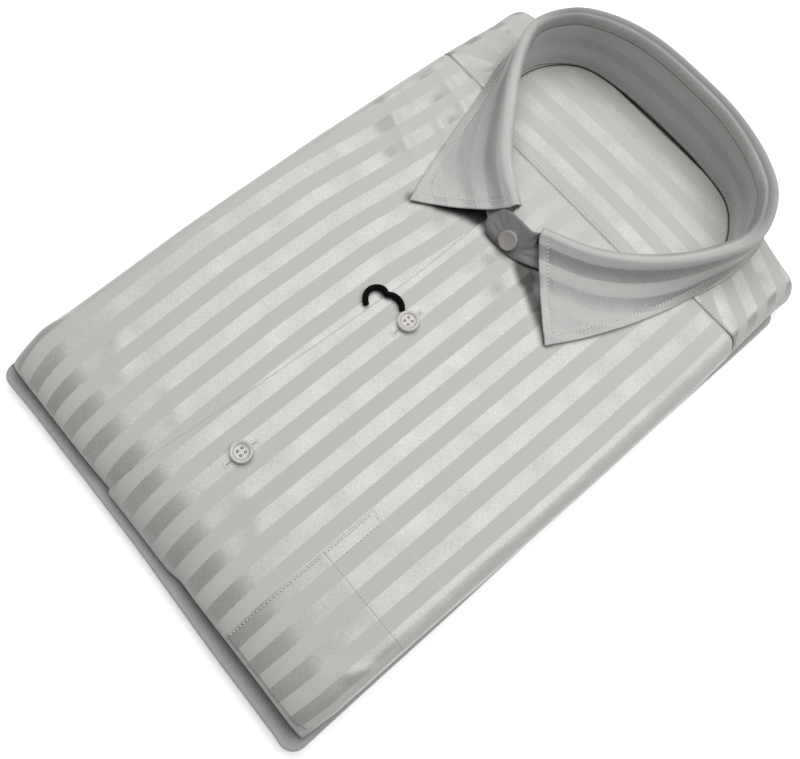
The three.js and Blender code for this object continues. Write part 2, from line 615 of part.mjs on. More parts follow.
for (const layer of LAYERS) add(layer.name, foldedLayer(layer), hiddenCloth);
add('folded_core', foldedCore(), hiddenCloth);
add('right_front', rightFront(), frontCloth);
add('left_front', leftFront(), frontCloth);
add('yoke_outer', outerYoke(), frontCloth);
add('yoke_inside', neckPiece(INNER_SEAM_Y + GAP / 2, 168.5, 8), frontCloth);
add('back_inside', neckPiece(60, INNER_SEAM_Y - GAP / 2, 5), frontCloth);
add('collar_band', collarBand(), collarCloth);
add('collar_leaf', collarLeaf(), collarCloth);
add('pocket_hem', pocketWall(POCKET.top, POCKET.hemBottom, TRIM + GAP), frontCloth);
add('pocket', pocketWall(POCKET.hemBottom - GAP, FLAT_BOTTOM - 1, TRIM), frontCloth);

BUTTON_YS.forEach((y, k) => {
  add(`button_${k + 1}`, frontButton(), buttonPearl).position.set(0, y, TOP + LAP_LIFT + GAP);
});

const [lapBase, lapTop] = [BAND_LAP[3].base, BAND_LAP[3].top].map((p) => new THREE.Vector3(...p));
const bandSlope = Math.atan2(lapTop.z - lapBase.z, lapTop.y - lapBase.y);
const bandButtonMesh = add('button_band', bandButton(), bandButtonPlastic);
bandButtonMesh.rotation.x = bandSlope;
bandButtonMesh.position.copy(lapBase.clone().lerp(lapTop, BAND_BUTTON.part)).setX(BAND_BUTTON.x);
bandButtonMesh.position.addScaledVector(new THREE.Vector3(0, -Math.sin(bandSlope), Math.cos(bandSlope)),
  BAND_WALL + GAP);

add('cord_loop', cordLoop(), blackCord);

export default shirt;
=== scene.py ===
"""A folded striped shirt on a pale table, seen from above.

Tables and sizes of the cloth are in mm, objects in metres.
"""

import math

import bpy
import numpy as np
from mathutils import Matrix, Vector


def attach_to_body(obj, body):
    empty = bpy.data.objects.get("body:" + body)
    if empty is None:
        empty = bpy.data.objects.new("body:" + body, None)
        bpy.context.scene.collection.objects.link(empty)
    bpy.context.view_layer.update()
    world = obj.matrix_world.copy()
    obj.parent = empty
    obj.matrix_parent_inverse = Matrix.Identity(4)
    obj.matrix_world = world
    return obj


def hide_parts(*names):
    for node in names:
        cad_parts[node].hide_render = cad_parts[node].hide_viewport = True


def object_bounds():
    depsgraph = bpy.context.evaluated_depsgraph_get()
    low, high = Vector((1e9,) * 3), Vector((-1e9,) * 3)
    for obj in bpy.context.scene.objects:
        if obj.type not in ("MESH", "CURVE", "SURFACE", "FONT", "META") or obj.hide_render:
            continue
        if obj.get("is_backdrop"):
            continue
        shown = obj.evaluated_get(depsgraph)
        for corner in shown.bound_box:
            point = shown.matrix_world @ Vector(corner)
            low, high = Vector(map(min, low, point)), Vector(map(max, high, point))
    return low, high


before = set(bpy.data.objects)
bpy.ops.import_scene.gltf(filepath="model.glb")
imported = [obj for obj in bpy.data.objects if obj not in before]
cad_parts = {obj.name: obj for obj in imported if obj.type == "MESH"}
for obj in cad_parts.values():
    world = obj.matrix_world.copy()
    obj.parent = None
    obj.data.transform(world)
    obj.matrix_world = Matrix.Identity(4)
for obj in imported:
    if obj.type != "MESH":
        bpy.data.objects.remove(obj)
cad_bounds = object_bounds()
scene = bpy.context.scene
MM = 0.001

# ---- Camera ----
# It looks down on the shirt from the viewer's right, turned so that the buttons run across the picture.
# Its place is in metres, and its three directions are made square to each other.
CAMERA_PLACE = (0.0964, -0.1324, 0.4126)
CAMERA_RIGHT = Vector((0.6519, 0.7555, 0.0657))
CAMERA_BACK = Vector((0.1906, -0.2470, 0.9501)).normalized()
camera_up = CAMERA_BACK.cross(CAMERA_RIGHT).normalized()
camera_right = camera_up.cross(CAMERA_BACK)
camera_data = bpy.data.cameras.new("camera")
camera_data.lens, camera_data.sensor_width = 38.25, 36
camera = bpy.data.objects.new("camera", camera_data)
camera.matrix_world = (
    Matrix.Translation(CAMERA_PLACE) @ Matrix((camera_right, camera_up, CAMERA_BACK)).transposed().to_4x4()
)
scene.collection.objects.link(camera)
scene.camera = camera

# ---- Cord loop ----
# A black twisted cord comes from beside the first button, makes a loop and ends at the lap's edge.
# A tube with three strands, along the route of the solid.
CORD_RADIUS, CORD_SIDES = 1.6, 24
CORD_ROUTE = [
    (-0.0062, -0.0095, 0.0311), (-0.0084, -0.0078, 0.0311), (-0.0113, -0.007, 0.0311),
    (-0.0146, -0.0076, 0.0311), (-0.0174, -0.0095, 0.0311), (-0.0203, -0.0091, 0.0308),
    (-0.0234, -0.0102, 0.0296), (-0.025, -0.0132, 0.0294), (-0.0244, -0.0168, 0.0294),
    (-0.022, -0.0194, 0.0294), (-0.02, -0.0204, 0.0294),
]


def fill(tree, node, values):
    """Sets a node's inputs to numbers, or to the sockets that feed them. The key _2 is input number 2."""
    for key, value in values.items():
        socket = node.inputs[int(key[1:]) if key[0] == "_" else key.replace("_", " ")]
        if isinstance(value, bpy.types.NodeSocket):
            tree.links.new(value, socket)
        else:
            socket.default_value = value
    return node.outputs


def put(tree, kind, settings=(), output=0, **values):
    """Adds a shader node and gives one of its outputs, or all of them."""
    node = tree.nodes.new(f"ShaderNode{kind}")
    for key, value in dict(settings).items():
        setattr(node, key, value)
    outputs = fill(tree, node, values)
    return outputs if output is None else outputs[output]


def mix_colour(tree, factor, one, two, blend="MIX"):
    return put(tree, "Mix", {"data_type": "RGBA", "blend_type": blend}, output=2, _0=factor, _6=one, _7=two)


def new_material(name):
    material = bpy.data.materials.new(name)
    material.use_nodes = True
    tree = material.node_tree
    return material, tree, tree.nodes["Principled BSDF"]


def speckled(name, scale, detail, dark, light, distortion=0.0, **values):
    """A material of two tones in soft specks. values are the shader's other inputs."""
    material, tree, shader = new_material(name)
    place = put(tree, "TexCoord", output="Object")
    specks = put(tree, "TexNoise", Vector=place, Scale=scale, Detail=detail, Distortion=distortion)
    fill(tree, shader, {"Base Color": mix_colour(tree, specks, (*dark, 1), (*light, 1)), **values})
    return material, tree, shader, specks


def curve(points, parts):
    """Points of a centripetal Catmull-Rom curve, part 0 being its start and 1 its end."""
    points = np.asarray(points, float)
    padded = np.vstack([2 * points[0] - points[1], points, 2 * points[-1] - points[-2]])
    place = np.clip(np.asarray(parts, float), 0, 1) * (len(points) - 1)
    index = np.minimum(place.astype(int), len(points) - 2)
    weight = (place - index)[:, None]
    p0, p1, p2, p3 = (padded[index + k] for k in range(4))
    pairs = ((p0, p1), (p1, p2), (p2, p3))
    d0, d1, d2 = (np.maximum(np.linalg.norm(b - a, axis=1), 1e-9)[:, None] ** 0.5 for a, b in pairs)
    start = ((p1 - p0) / d0 - (p2 - p0) / (d0 + d1) + (p2 - p1) / d1) * d1
    stop = ((p2 - p1) / d1 - (p3 - p1) / (d1 + d2) + (p3 - p2) / d2) * d1
    square, cube = 3 * (p2 - p1) - 2 * start - stop, 2 * (p1 - p2) + start + stop
    return p1 + start * weight + square * weight**2 + cube * weight**3


def unit(vectors):
    return vectors / np.maximum(np.linalg.norm(vectors, axis=-1, keepdims=True), 1e-12)


def walk_along(points):
    """Distance of each point from the first one along the line."""
    return np.concatenate([[0], np.cumsum(np.linalg.norm(np.diff(points, axis=0), axis=1))])


def ring_faces(rings, count):
    """Quads between rings of points, each ring after the other."""
    return [
        (i * count + k, i * count + (k + 1) % count, (i + 1) * count + (k + 1) % count, (i + 1) * count + k)
        for i in range(rings - 1) for k in range(count)
    ]


def mesh_object(name, points, faces, material, uv=None, **values):
    """An object of smooth faces from points in mm. uv and the attributes have a value for each point."""
    mesh = bpy.data.meshes.new(name)
    faces = [tuple(face) for face in np.asarray(faces, object).tolist()]
    mesh.from_pydata((np.asarray(points) * MM).tolist(), [], faces)
    mesh.polygons.foreach_set("use_smooth", [True] * len(mesh.polygons))
    if uv is not None:
        corners = np.zeros(len(mesh.loops), int)
        mesh.loops.foreach_get("vertex_index", corners)
        mesh.uv_layers.new(name="cloth").data.foreach_set("uv", np.asarray(uv, float)[corners].ravel())
    for label, field in values.items():
        field = np.resize(field, len(mesh.vertices)).astype(float)
        mesh.attributes.new(label, "FLOAT", "POINT").data.foreach_set("value", field)
    mesh.materials.append(material)
    thing = bpy.data.objects.new(name, mesh)
    scene.collection.objects.link(thing)
    return thing


def attach(piece, slot, node=None):
    """The piece moves with the shirt and may stand for a CAD node; its slot is not used."""
    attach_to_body(piece, "root")
    if node:
        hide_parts(node)
    return piece


cord_black, tree, shader, fibre = speckled(
    "cord_black", 2400.0, 3.0, (0.0008, 0.0008, 0.001), (0.004, 0.0038, 0.004), Roughness=0.85,
    Specular_IOR_Level=0.15,
)
fill(tree, shader, {"Normal": put(tree, "Bump", Height=fibre, Strength=0.5, Distance=0.0002)})

line = curve(np.array(CORD_ROUTE) * 1000, np.linspace(0, 1, 161))
ahead = unit(np.gradient(line, axis=0))
aside = unit(np.cross(ahead, (0, 0, 1)))
above = np.cross(aside, ahead)
turns = np.linspace(0, 2 * math.pi, CORD_SIDES, endpoint=False)
walk = walk_along(line)
strand = np.abs(np.cos(1.5 * (turns[None, :] - 1.9 * walk[:, None])))
radius = CORD_RADIUS * (0.84 + 0.16 * strand**0.7)[..., None]
around = aside[:, None] * np.cos(turns)[None, :, None] + above[:, None] * np.sin(turns)[None, :, None]
tube = line[:, None] + radius * around
last_ring = (len(line) - 1) * CORD_SIDES
faces = ring_faces(len(line), CORD_SIDES)
faces += [tuple(range(CORD_SIDES - 1, -1, -1)), tuple(range(last_ring, last_ring + CORD_SIDES))]
cord = attach(mesh_object("cord", tube.reshape(-1, 3), faces, cord_black), "cord_black", "cord_loop")


# ---- Hidden layers ----
# Tails, sleeves and back lie folded under the fronts, and show as soft rolled edges. Each is a rounded slab of
# the hidden cloth with slightly wavy edges and, on its open side, a groove between its two plies.
# Name, z, height, left, right, bottom, top, corner radius, direction of the open side along y, wave.
LAYERS = [
    ("tail_fold", 0, 3, -108, 111, -172, 146, 9, 1, 0.3),
    ("sleeve_left", 3.3, 2.7, -111, -4, -168, 140, 8, -1, 0.5),
    ("sleeve_right", 3.3, 2.7, 4, 113, -169, 140, 8, -1, 0.5),
    ("back_fold", 6.3, 3, -112, 116.5, -177.3, 150, 8, 1, 0.4),
]
FLAT_PARTS = (0.25, 0.6, 0.96)          # rings of a layer's flat faces, from its middle outwards
# Painted shade of each hidden layer: deep on its flat faces under the other layers, light round its rolled
# edge.
LOW_SHADE, ROLL_SHADE, HIGH_SHADE = 0.7, 0.14, 0.5
GROOVE_DEPTH, GROOVE_WIDTH = 0.9, 0.3   # mm, and radians round the roll
# The lower edge of the back rises this much above its layer's bottom.
BACK_EDGE_X, BACK_EDGE_RISE = (-112, -85, -40, 0, 60, 116), (1.5, 2.4, 2.8, 2.4, 0.7, -0.2)


# The satin stripe and the weave are node groups, placed in each cloth with its own values. UV map "cloth"
# counts stripe periods: U across the stripes, with a satin band round each whole number, and V along them.
PERIOD = 15.6                 # mm from one satin band to the next
# Painted sheen: the satin's colour is brightest where its threads lie square to this fixed direction, set by
# the lamp and the camera.
SHINE = np.array([0.1, 0.12, 0.988])  # satin threads across this direction are at their brightest
STRIPE_BLUR = 0.014           # half the soft edge of a satin band, in periods
FLOATS = (34, 9, 1)           # grain of the satin's long floats, across and along
WEAVE_THREADS, WEAVE_CONTRAST, WEAVE_DEPTH = 190.0, 0.12, 0.00008
DARKEST_LEAN = 0.45           # satin that leans this much has its darkest tone
SOFT = {"interpolation_type": "SMOOTHSTEP"}


def calculator(tree):
    """A function that adds math nodes to a tree."""
    def calc(operation, *values):
        return put(tree, "Math", {"operation": operation}, **{f"_{k}": v for k, v in enumerate(values)})
    return calc


def new_group(name, inputs, outputs):
    """A node group. Its input Cloth is a vector, and the other sockets are numbers."""
    group = bpy.data.node_groups.new(name, "ShaderNodeTree")
    for in_out, labels in (("INPUT", inputs), ("OUTPUT", outputs)):
        for label in labels:
            kind = "NodeSocketVector" if label == "Cloth" else "NodeSocketFloat"
            group.interface.new_socket(label, in_out=in_out, socket_type=kind)
    return group, group.nodes.new("NodeGroupInput").outputs, group.nodes.new("NodeGroupOutput")


# Satin stripe: Mask is 1 on the satin. Lustre is the uneven shine of its long floats, about 1.
stripe_group, given, result = new_group("satin_stripe", ("Cloth", "Share", "Unevenness"), ("Mask", "Lustre"))
calc = calculator(stripe_group)
across = put(stripe_group, "SeparateXYZ", _0=given["Cloth"])
from_centre = calc("ABSOLUTE", calc("SUBTRACT", calc("FRACT", calc("ADD", across, 0.5)), 0.5))
half_share = calc("MULTIPLY", given["Share"], 0.5)
outer_edge, inner_edge = (calc(way, half_share, STRIPE_BLUR) for way in ("ADD", "SUBTRACT"))
mask = put(stripe_group, "MapRange", SOFT, Value=from_centre, _1=outer_edge, _2=inner_edge)
floats = put(stripe_group, "Mapping", Vector=given["Cloth"], Scale=FLOATS)
grain = put(stripe_group, "TexNoise", Vector=floats, Scale=1.0, Detail=3.0, Roughness=0.6)
patches = put(stripe_group, "TexNoise", Vector=given["Cloth"], Scale=0.8, Detail=2.0)
both = calc("ADD", calc("SUBTRACT", grain, 0.5), calc("MULTIPLY", calc("SUBTRACT", patches, 0.5), 0.5))
lustre = calc("ADD", calc("MULTIPLY", both, given["Unevenness"]), 1.0)
fill(stripe_group, result, {"Mask": mask, "Lustre": lustre})

# Weave: Height of crossing threads, and Shade, their fine change of tone about 1.
weave_group, given, result = new_group("weave", ("Cloth", "Threads", "Contrast"), ("Height", "Shade"))
calc = calculator(weave_group)
places = (put(weave_group, "SeparateXYZ", output=axis, _0=given["Cloth"]) for axis in ("X", "Y"))
waves = [calc("SINE", calc("MULTIPLY", place, given["Threads"])) for place in places]
slubs = put(weave_group, "TexNoise", Vector=given["Cloth"], Scale=24.0, Detail=2.0)
height = calc("ADD", calc("MULTIPLY", *waves), slubs)
shade = calc("ADD", 1.0, calc("MULTIPLY", calc("SUBTRACT", slubs, 0.5), given["Contrast"]))
fill(weave_group, result, {"Height": height, "Shade": shade})


def striped_cloth(name, ground, share=0.5, shine=(0.73, 1.14), unevenness=0.7):
    """Satin stripe on a matte ground, with the satin's sheen painted into its colour. The satin is painted dark
    where its threads lean out of the lamp's light: the attribute "lean" says how far, and shine is its painted
    tone there and at its brightest. The attribute "shade" is painted shade that darkens folds and tucks lying
    deep in the cloth's own shade."""
    material, tree, shader = new_material(name)
    calc = calculator(tree)
    cloth = put(tree, "UVMap", {"uv_map": "cloth"})
    stripe_node, weave_node = {"node_tree": stripe_group}, {"node_tree": weave_group}
    stripe = put(tree, "Group", stripe_node, None, Cloth=cloth, Share=share, Unevenness=unevenness)
    weave = put(tree, "Group", weave_node, None, Cloth=cloth, Threads=WEAVE_THREADS, Contrast=WEAVE_CONTRAST)
    lean, shade = (put(tree, "Attribute", {"attribute_name": key}, output=2) for key in ("lean", "shade"))
    # Painted sheen: the satin's tone from its lean.
    bright = put(tree, "MapRange", SOFT, Value=lean, _1=DARKEST_LEAN, _2=0.0, _3=shine[0], _4=shine[1])
    factors = (weave["Shade"], calc("MULTIPLY", stripe["Lustre"], bright))
    tones = [mix_colour(tree, 1.0, (*ground, 1), factor, "MULTIPLY") for factor in factors]
    tone = mix_colour(tree, stripe["Mask"], *tones)
    height = calc("MULTIPLY", weave["Height"], calc("SUBTRACT", 1.15, stripe["Mask"]))
    fill(tree, shader, {
        "Base Color": mix_colour(tree, 1.0, tone, calc("SUBTRACT", 1.0, shade), "MULTIPLY"),
        "Metallic": calc("MULTIPLY", stripe["Mask"], 0.1),
        "Roughness": put(tree, "MapRange", Value=stripe["Mask"], _3=0.82, _4=0.42),
        "Normal": put(tree, "Bump", Height=height, Strength=0.35, Distance=WEAVE_DEPTH),
        "Sheen Weight": 0.12, "Sheen Roughness": 0.5, "Specular IOR Level": 0.3,
    })
    return material


hidden_cloth = striped_cloth("hidden_cloth", (0.56, 0.547, 0.537), -0.1, shine=(1, 1), unevenness=0.3)


def smooth(t):
    t = np.clip(t, 0, 1)
    return t * t * (3 - 2 * t)


def bell(value, centre, width):
    return np.exp(-(((value - centre) / width) ** 2))


def outline(left, right, bottom, top, corner):
    """Points round a rounded rectangle about 4 mm apart, with their outward directions."""
    places, directions = [], []
    low, high, left, right = bottom + corner, top - corner, left + corner, right - corner
    middles = [(right, low), (right, high), (left, high), (left, low)]
    for k, (x, y) in enumerate(middles):
        for turn in np.linspace(0, math.pi / 2, 9) + (k - 1) * math.pi / 2:
            directions.append((math.cos(turn), math.sin(turn)))
            places.append((x + corner * directions[-1][0], y + corner * directions[-1][1]))
        direction, start = directions[-1], np.array(places[-1])
        stop = np.array(middles[(k + 1) % 4]) + corner * np.array(direction)
        count = int(np.linalg.norm(stop - start) // 4)
        places += [tuple(start + (stop - start) * step / count) for step in range(1, count)]
        directions += [direction] * (count - 1)
    return np.array(places), np.array(directions)


def folded_layer(name, z, height, left, right, bottom, top, corner, open_side, wave):
    places, directions = outline(left, right, bottom, top, corner)
    if name == "back_fold":
        rise = np.interp(places[:, 0], BACK_EDGE_X, BACK_EDGE_RISE)
        places[:, 1] += rise * (top - places[:, 1]) / (top - bottom)
    walk = walk_along(places)
    drift = -wave * (0.5 + 0.5 * np.sin(walk / 23 + left) * np.sin(walk / 61 + top))
    opening = np.clip(directions[:, 1] * open_side, 0, 1) ** 4
    centre = np.array([(left + right) / 2, (bottom + top) / 2])
    flat = [centre + (places - centre) * part for part in FLAT_PARTS]
    rings = [(spots, z) for spots in flat]
    for turn in np.radians(np.linspace(-90, 90, 13)):
        inset = height / 2 * (1 - math.cos(turn)) + GROOVE_DEPTH * opening * bell(turn, 0, GROOVE_WIDTH)
        level = z + height / 2 * (1 + math.sin(turn))
        rings.append((places + directions * (drift - inset)[:, None], level))
    rings += [(spots, z + height) for spots in flat[::-1]]
    points = [np.column_stack([spots, np.full(len(spots), level)]) for spots, level in rings]
    points = np.vstack(points + [[[*centre, z]], [[*centre, z + height]]])
    count, last, middle = len(places), len(places) * (len(rings) - 1), len(places) * len(rings)
    faces = ring_faces(len(rings), count)
    for k in range(count):
        after = (k + 1) % count
        faces += [(middle, after, k), (middle + 1, last + k, last + after)]
    shades = [LOW_SHADE] * 3 + [ROLL_SHADE] * 13 + [HIGH_SHADE] * 3
    shade = np.append(np.repeat(shades, count), [LOW_SHADE, HIGH_SHADE])
    return mesh_object(f"{name}_cloth", points, faces, hidden_cloth, points[:, :2] / PERIOD, shade=shade)


def sheet_piece(piece, node, slot, flat, with_pieces=()):
    """A sheet of cloth that stands for a CAD node and moves with the shirt."""
    attach(piece, slot, node)
    list(with_pieces)


for name, *sizes in LAYERS:
    left, right, bottom, top = sizes[2:6]
    flat = ((right - left) / 1000, (top - bottom) / 1000)
    layer = folded_layer(name, *sizes)
    sheet_piece(layer, name, "cloth_hidden", flat)


# ---- Body of the fold ----
# surface(a, b) is the shirt's outer face: a runs across and b along the cloth, also round the rolled edges.
# Shells of cloth are laid on it, and one more just under the fronts stands for the layers inside the fold.
TOP, FOLD_BOTTOM = 27.5, 10.1
FLAT_X, FLAT_BOTTOM, FLAT_TOP = 106, -141, 173
SEAM_Y = 110.5
SIDE_WIDTH, SIDE_LENGTH, SIDE_TURN = 9, 21, 90
TOP_WIDTH, TOP_LENGTH = 5.5, 20
BOTTOM_WIDTH, BOTTOM_LENGTH = 27.3, 40
END_TURN, LAP_TURN = 125, 95
CLOTH = 0.8                   # thickness of one cloth
EDGE_Y = (-168, -150, -65, 20, 80, 110, 146, 158, 168)
EDGE_LEFT = (110, 113, 115, 115, 113.3, 112.4, 109.4, 109.4, 107.5)
EDGE_RIGHT = (113, 114.6, 116, 116.6, 116, 114.8, 113.4, 114, 111)
TOP_X = (-127, -116, -106, -96, -66, -45, 45, 66, 84, 100, 112, 127)
TOP_Y = (160, 164.5, 168, 170, 172.5, 178.5, 178.5, 173, 168.5, 164, 161.5, 158.5)


def roll(past, width, length, turn):
    part = np.clip(past / length, 0, 1)
    last = np.radians(turn)
    level = (np.cos(last * part) - np.cos(last)) / (1 - np.cos(last))
    return width * np.sin(last * part), level, part


def top_shift(a):
    return np.interp(a, TOP_X, TOP_Y) - TOP_WIDTH - FLAT_TOP


def along_at(a, y):
    """The place b along the cloth that lies at y."""
    b = y
    for _ in range(8):
        b = y - top_shift(a) * smooth((b - SEAM_Y) / (FLAT_TOP - SEAM_Y))
    return b


def surface(a, b, bottom=FOLD_BOTTOM, top=TOP, inset=0.0):
    a, b = np.broadcast_arrays(np.asarray(a, float), np.asarray(b, float))
    side_out, side_level, side_part = roll(np.abs(a) - FLAT_X, SIDE_WIDTH, SIDE_LENGTH, SIDE_TURN)
    lap_part = 1 - smooth((np.abs(a + 5) - 26) / 20)
    bottom_turn = END_TURN + (LAP_TURN - END_TURN) * lap_part
    bottom_turn = bottom_turn + (SIDE_TURN - bottom_turn) * side_part
    top_turn = END_TURN + (SIDE_TURN - END_TURN) * side_part
    low_out, low_level, low_part = roll(FLAT_BOTTOM - b, BOTTOM_WIDTH, BOTTOM_LENGTH, bottom_turn)
    high_out, high_level, high_part = roll(b - FLAT_TOP, TOP_WIDTH, TOP_LENGTH, top_turn)
    at_top = b > 0
    flat_y, flat_x = np.clip(b, FLAT_BOTTOM, FLAT_TOP), np.clip(a, -FLAT_X, FLAT_X)
    y = flat_y + top_shift(a) * smooth((flat_y - SEAM_Y) / (FLAT_TOP - SEAM_Y))
    y = y + np.where(at_top, high_out, -low_out)
    reach = np.where(a < 0, np.interp(y, EDGE_Y, EDGE_LEFT), np.interp(y, EDGE_Y, EDGE_RIGHT))
    side_shift = (reach - SIDE_WIDTH - FLAT_X) * smooth((np.abs(flat_x) - FLAT_X / 2) / (FLAT_X / 2))
    x = flat_x + np.sign(a) * (side_shift + side_out - inset * smooth(2 * side_part))
    y = y + np.where(at_top, -1, 1) * inset * smooth(2 * np.where(at_top, high_part, low_part))
    z = bottom + (top - bottom) * side_level * np.where(at_top, high_level, low_level)
    return np.stack([x, y, z], axis=-1)


def grid_normals(points):
    """Unit normals of a grid: along (second index) x across (first index)."""
    along, across = np.gradient(points, axis=1), np.gradient(points, axis=0)
    normals = np.cross(along, across)
    for i, j in ((0, 0), (0, -1), (-1, 0), (-1, -1)):
        normals[i, j] = normals[1 if i == 0 else -2, 1 if j == 0 else -2]
    return unit(normals)


def from_side(points, side):
    """Distance of each grid point from a side of the grid, along the grid."""
    axis = 0 if side in ("first", "last") else 1
    steps = np.linalg.norm(np.diff(points, axis=axis), axis=-1)
    start = np.zeros_like(np.take(steps, [0], axis=axis))
    far = np.concatenate([start, np.cumsum(steps, axis=axis)], axis=axis)
    return np.take(far, [-1], axis=axis) - far if side in ("last", "end") else far


def shell(name, points, uv, material, thickness, rounded=(), radius=0.45, shade=0.0, lean=0.0):
    """A closed wall of cloth under a grid of surface points. Its sides named in rounded have soft edges:
    first and last are those of the grid's first index, start and end those of its second."""
    normals = grid_normals(points)
    drop = np.zeros(points.shape[:2])
    for side in rounded:
        near = np.clip(1 - from_side(points, side) / radius, 0, 1)
        drop = np.maximum(drop, radius * (1 - np.sqrt(1 - near**2)))
    drop = drop[..., None]
    depth = np.broadcast_to(np.asarray(thickness, float), points.shape[:2])[..., None]
    outer, inner = points - normals * drop, points - normals * (depth - 0.7 * drop)
    top = np.arange(drop.size).reshape(drop.shape[:2])
    low = top + drop.size
    corners = (
        (top[:-1, :-1], top[:-1, 1:], top[1:, 1:], top[1:, :-1]),
        (low[:-1, :-1], low[1:, :-1], low[1:, 1:], low[:-1, 1:]),
        (top[:-1, 0], top[1:, 0], low[1:, 0], low[:-1, 0]),
        (top[:-1, -1], low[:-1, -1], low[1:, -1], top[1:, -1]),
        (top[0, :-1], low[0, :-1], low[0, 1:], top[0, 1:]),
        (top[-1, :-1], top[-1, 1:], low[-1, 1:], low[-1, :-1]),
    )
    faces = np.concatenate([np.stack(quad, -1).reshape(-1, 4) for quad in corners])
    both, uvs = np.stack([outer, inner]).reshape(-1, 3), np.stack([uv, uv]).reshape(-1, 2)
    return mesh_object(name, both, faces, material, uvs, lean=lean_of(points, uv) + lean, shade=shade)


def lean_of(points, uv):
    """How far the threads of a grid lean out of the plane in which they shine; this sets their painted sheen.
    """
    across, down = np.gradient(uv[..., 0], axis=0)[..., None], np.gradient(uv[..., 0], axis=1)[..., None]
    threads = unit(np.gradient(points, axis=1) * across - np.gradient(points, axis=0) * down)
    return np.abs(threads @ SHINE)


def grid(first, second):
    return np.meshgrid(np.asarray(first, float), np.asarray(second, float), indexing="ij")


across, along = grid(np.linspace(-127, 127, 85), np.linspace(193, -181, 110))
core, core_uv = surface(across, along, bottom=9.7, top=25.3, inset=5.5), np.stack([across, along], -1) / PERIOD
# Its colour is painted darker all over, as shade for the layers deep inside the fold.
inner_layers = shell("inner_layers", core, core_uv, hidden_cloth, CLOTH, shade=0.6)
sheet_piece(inner_layers, "folded_core", "cloth_hidden", (0.254, 0.374))


# ---- Fronts ----
# The left front laps over the right one with a folded placket, and both follow surface(). Soft ridges lie in
# the flat face, most of them near the shoulders and over the bottom roll. Satin bands follow the bowed sides.
PLACKET = 1.3                 # thickness of the lap's folded edge
LAP_LIFT = 1.6
STRIPE_STARTS = (35.2, 1.4)   # of the satin bands on the two fronts
BOWED_PERIOD = 15.85          # between the satin bands of the right front
SHADE_FADE = 4.5              # mm over which the shade below the leaves fades
LAP_EDGE_Y = (-168, -154, -85, -20, 8, 36, 60)
LAP_EDGE_X = (-28, -26.4, -21.2, -18.3, -17, -17.6, -18.4)
NECK_X = (-69, -58, -39.5, -12.5, 0, 14, 41, 61, 69)
NECK_Y = (SEAM_Y + 1.6, 97, 73.5, 55.5, 52.5, 55.5, 72, 96, SEAM_Y + 1.6)
# Ridges on the flat face: from (x, y) to (x, y), width, height, bow.
FRONT_RIDGES = [
    (-112, 99, -62, 91, 3.6, 1.1, 0.02), (-104, 64, -64, 52, 3.8, 1.0, -0.02),
    (-102, 108, -72, 105, 3.0, 0.5, 0.03), (-86, 80, -56, 70, 3.2, 0.8, 0.02),
    (-112, 78, -88, 74, 4.0, 0.5, 0.02), (-110, 30, -84, 22, 6, 0.45, 0), (-70, 20, -50, 8, 6, 0.4, 0.03),
    (72, 100, 112, 92, 4.5, 0.5, -0.03), (66, 84, 108, 66, 6, 0.4, 0.02), (84, 52, 114, 40, 7, 0.4, 0),
    (-14, 44, 16, 46, 4, 0.35, 0.05), (-48, 30, -18, 46, 5, 0.5, 0.02), (20, 42, 46, 30, 5, 0.4, -0.02),
    (-90, -118, -62, -136, 6, 0.45, 0.03), (-50, -116, -26, -128, 5, 0.35, 0.03),
    (14, -118, 40, -132, 6, 0.45, 0.02), (-24, -60, -22, -120, 2.5, 0.25, 0.01),
    (30, -20, 44, -130, 9, 0.3, 0.03), (96, -150, 118, -122, 4, 0.7, 0.05),
    (-118, -150, -100, -128, 4, 0.6, 0.05), (-112, -20, -104, -90, 4, 0.35, 0.02),
    (108, 10, 112, -60, 4, 0.35, 0.02),
]
# Spots of painted sheen on the fronts' satin, darker for a positive lean and lighter for a negative one: x, y,
# radius, lean.
PAINTED_SATIN_SPOTS = [
    (-94, 53, 4.5, 0.4), (-79, 46, 4, 0.35), (-87, 88, 4.5, 0.4), (-72, 84, 4, 0.4), (-103, 90, 4, 0.35),
    (-62, 70, 5, 0.3), (-108, 62, 4, 0.25), (-14, -118, 9, -0.05), (8, -104, 8, 0.06), (-34, 40, 5, 0.22),
    (2, 44, 5, 0.28), (14, 36, 5, 0.26), (-4, 34, 6, 0.12),
]
# The deep shade below the collar's leaves: from (x, y) to (x, y), half width, strength.
UNDER_LEAVES = [
    (-52, 36, -40, 45, 0.2, 0.7), (-40, 45.5, -20, 57, 2, 0.93), (-26, 55, -17, 58, 3.4, 0.94),
    (14, 54, 20, 51, 3, 0.86), (20, 51, 34, 44, 1, 0.86), (34, 44, 50, 36, 0.2, 0.8),
]


def ridges(x, y, rows):
    """Height of soft ridges, and troughs where the height is negative, that fade towards their ends."""
    total = np.zeros(np.broadcast(x, y).shape)
    for x0, y0, x1, y1, width, height, bow in rows:
        length = math.hypot(x1 - x0, y1 - y0)
        ux, uy = (x1 - x0) / length, (y1 - y0) / length
        part = ((x - x0) * ux + (y - y0) * uy) / length
        inside = np.clip(part, 0, 1)
        off = (x - x0) * -uy + (y - y0) * ux - bow * length * np.sin(math.pi * inside)
        total += height * bell(off, 0, width) * smooth(4 * inside) * smooth(4 * (1 - inside))
    return total


def drape(x, y):
    """Broad, shallow waves of cloth that lies on other layers."""
    return (
        0.22 * np.sin(x / 31 + y / 57 + 0.6) * np.sin(y / 43 - x / 71) + 0.14 * np.sin(x / 17 - y / 39 + 2)
        + 0.10 * np.sin(y / 19 + x / 47 + 1)
    )


def normals_of(place, a, b, step=0.5):
    """Unit normals at a, b of a surface that a function of both gives."""
    down, right = place(a, b - step) - place(a, b + step), place(a + step, b) - place(a - step, b)
    return unit(np.cross(down, right))


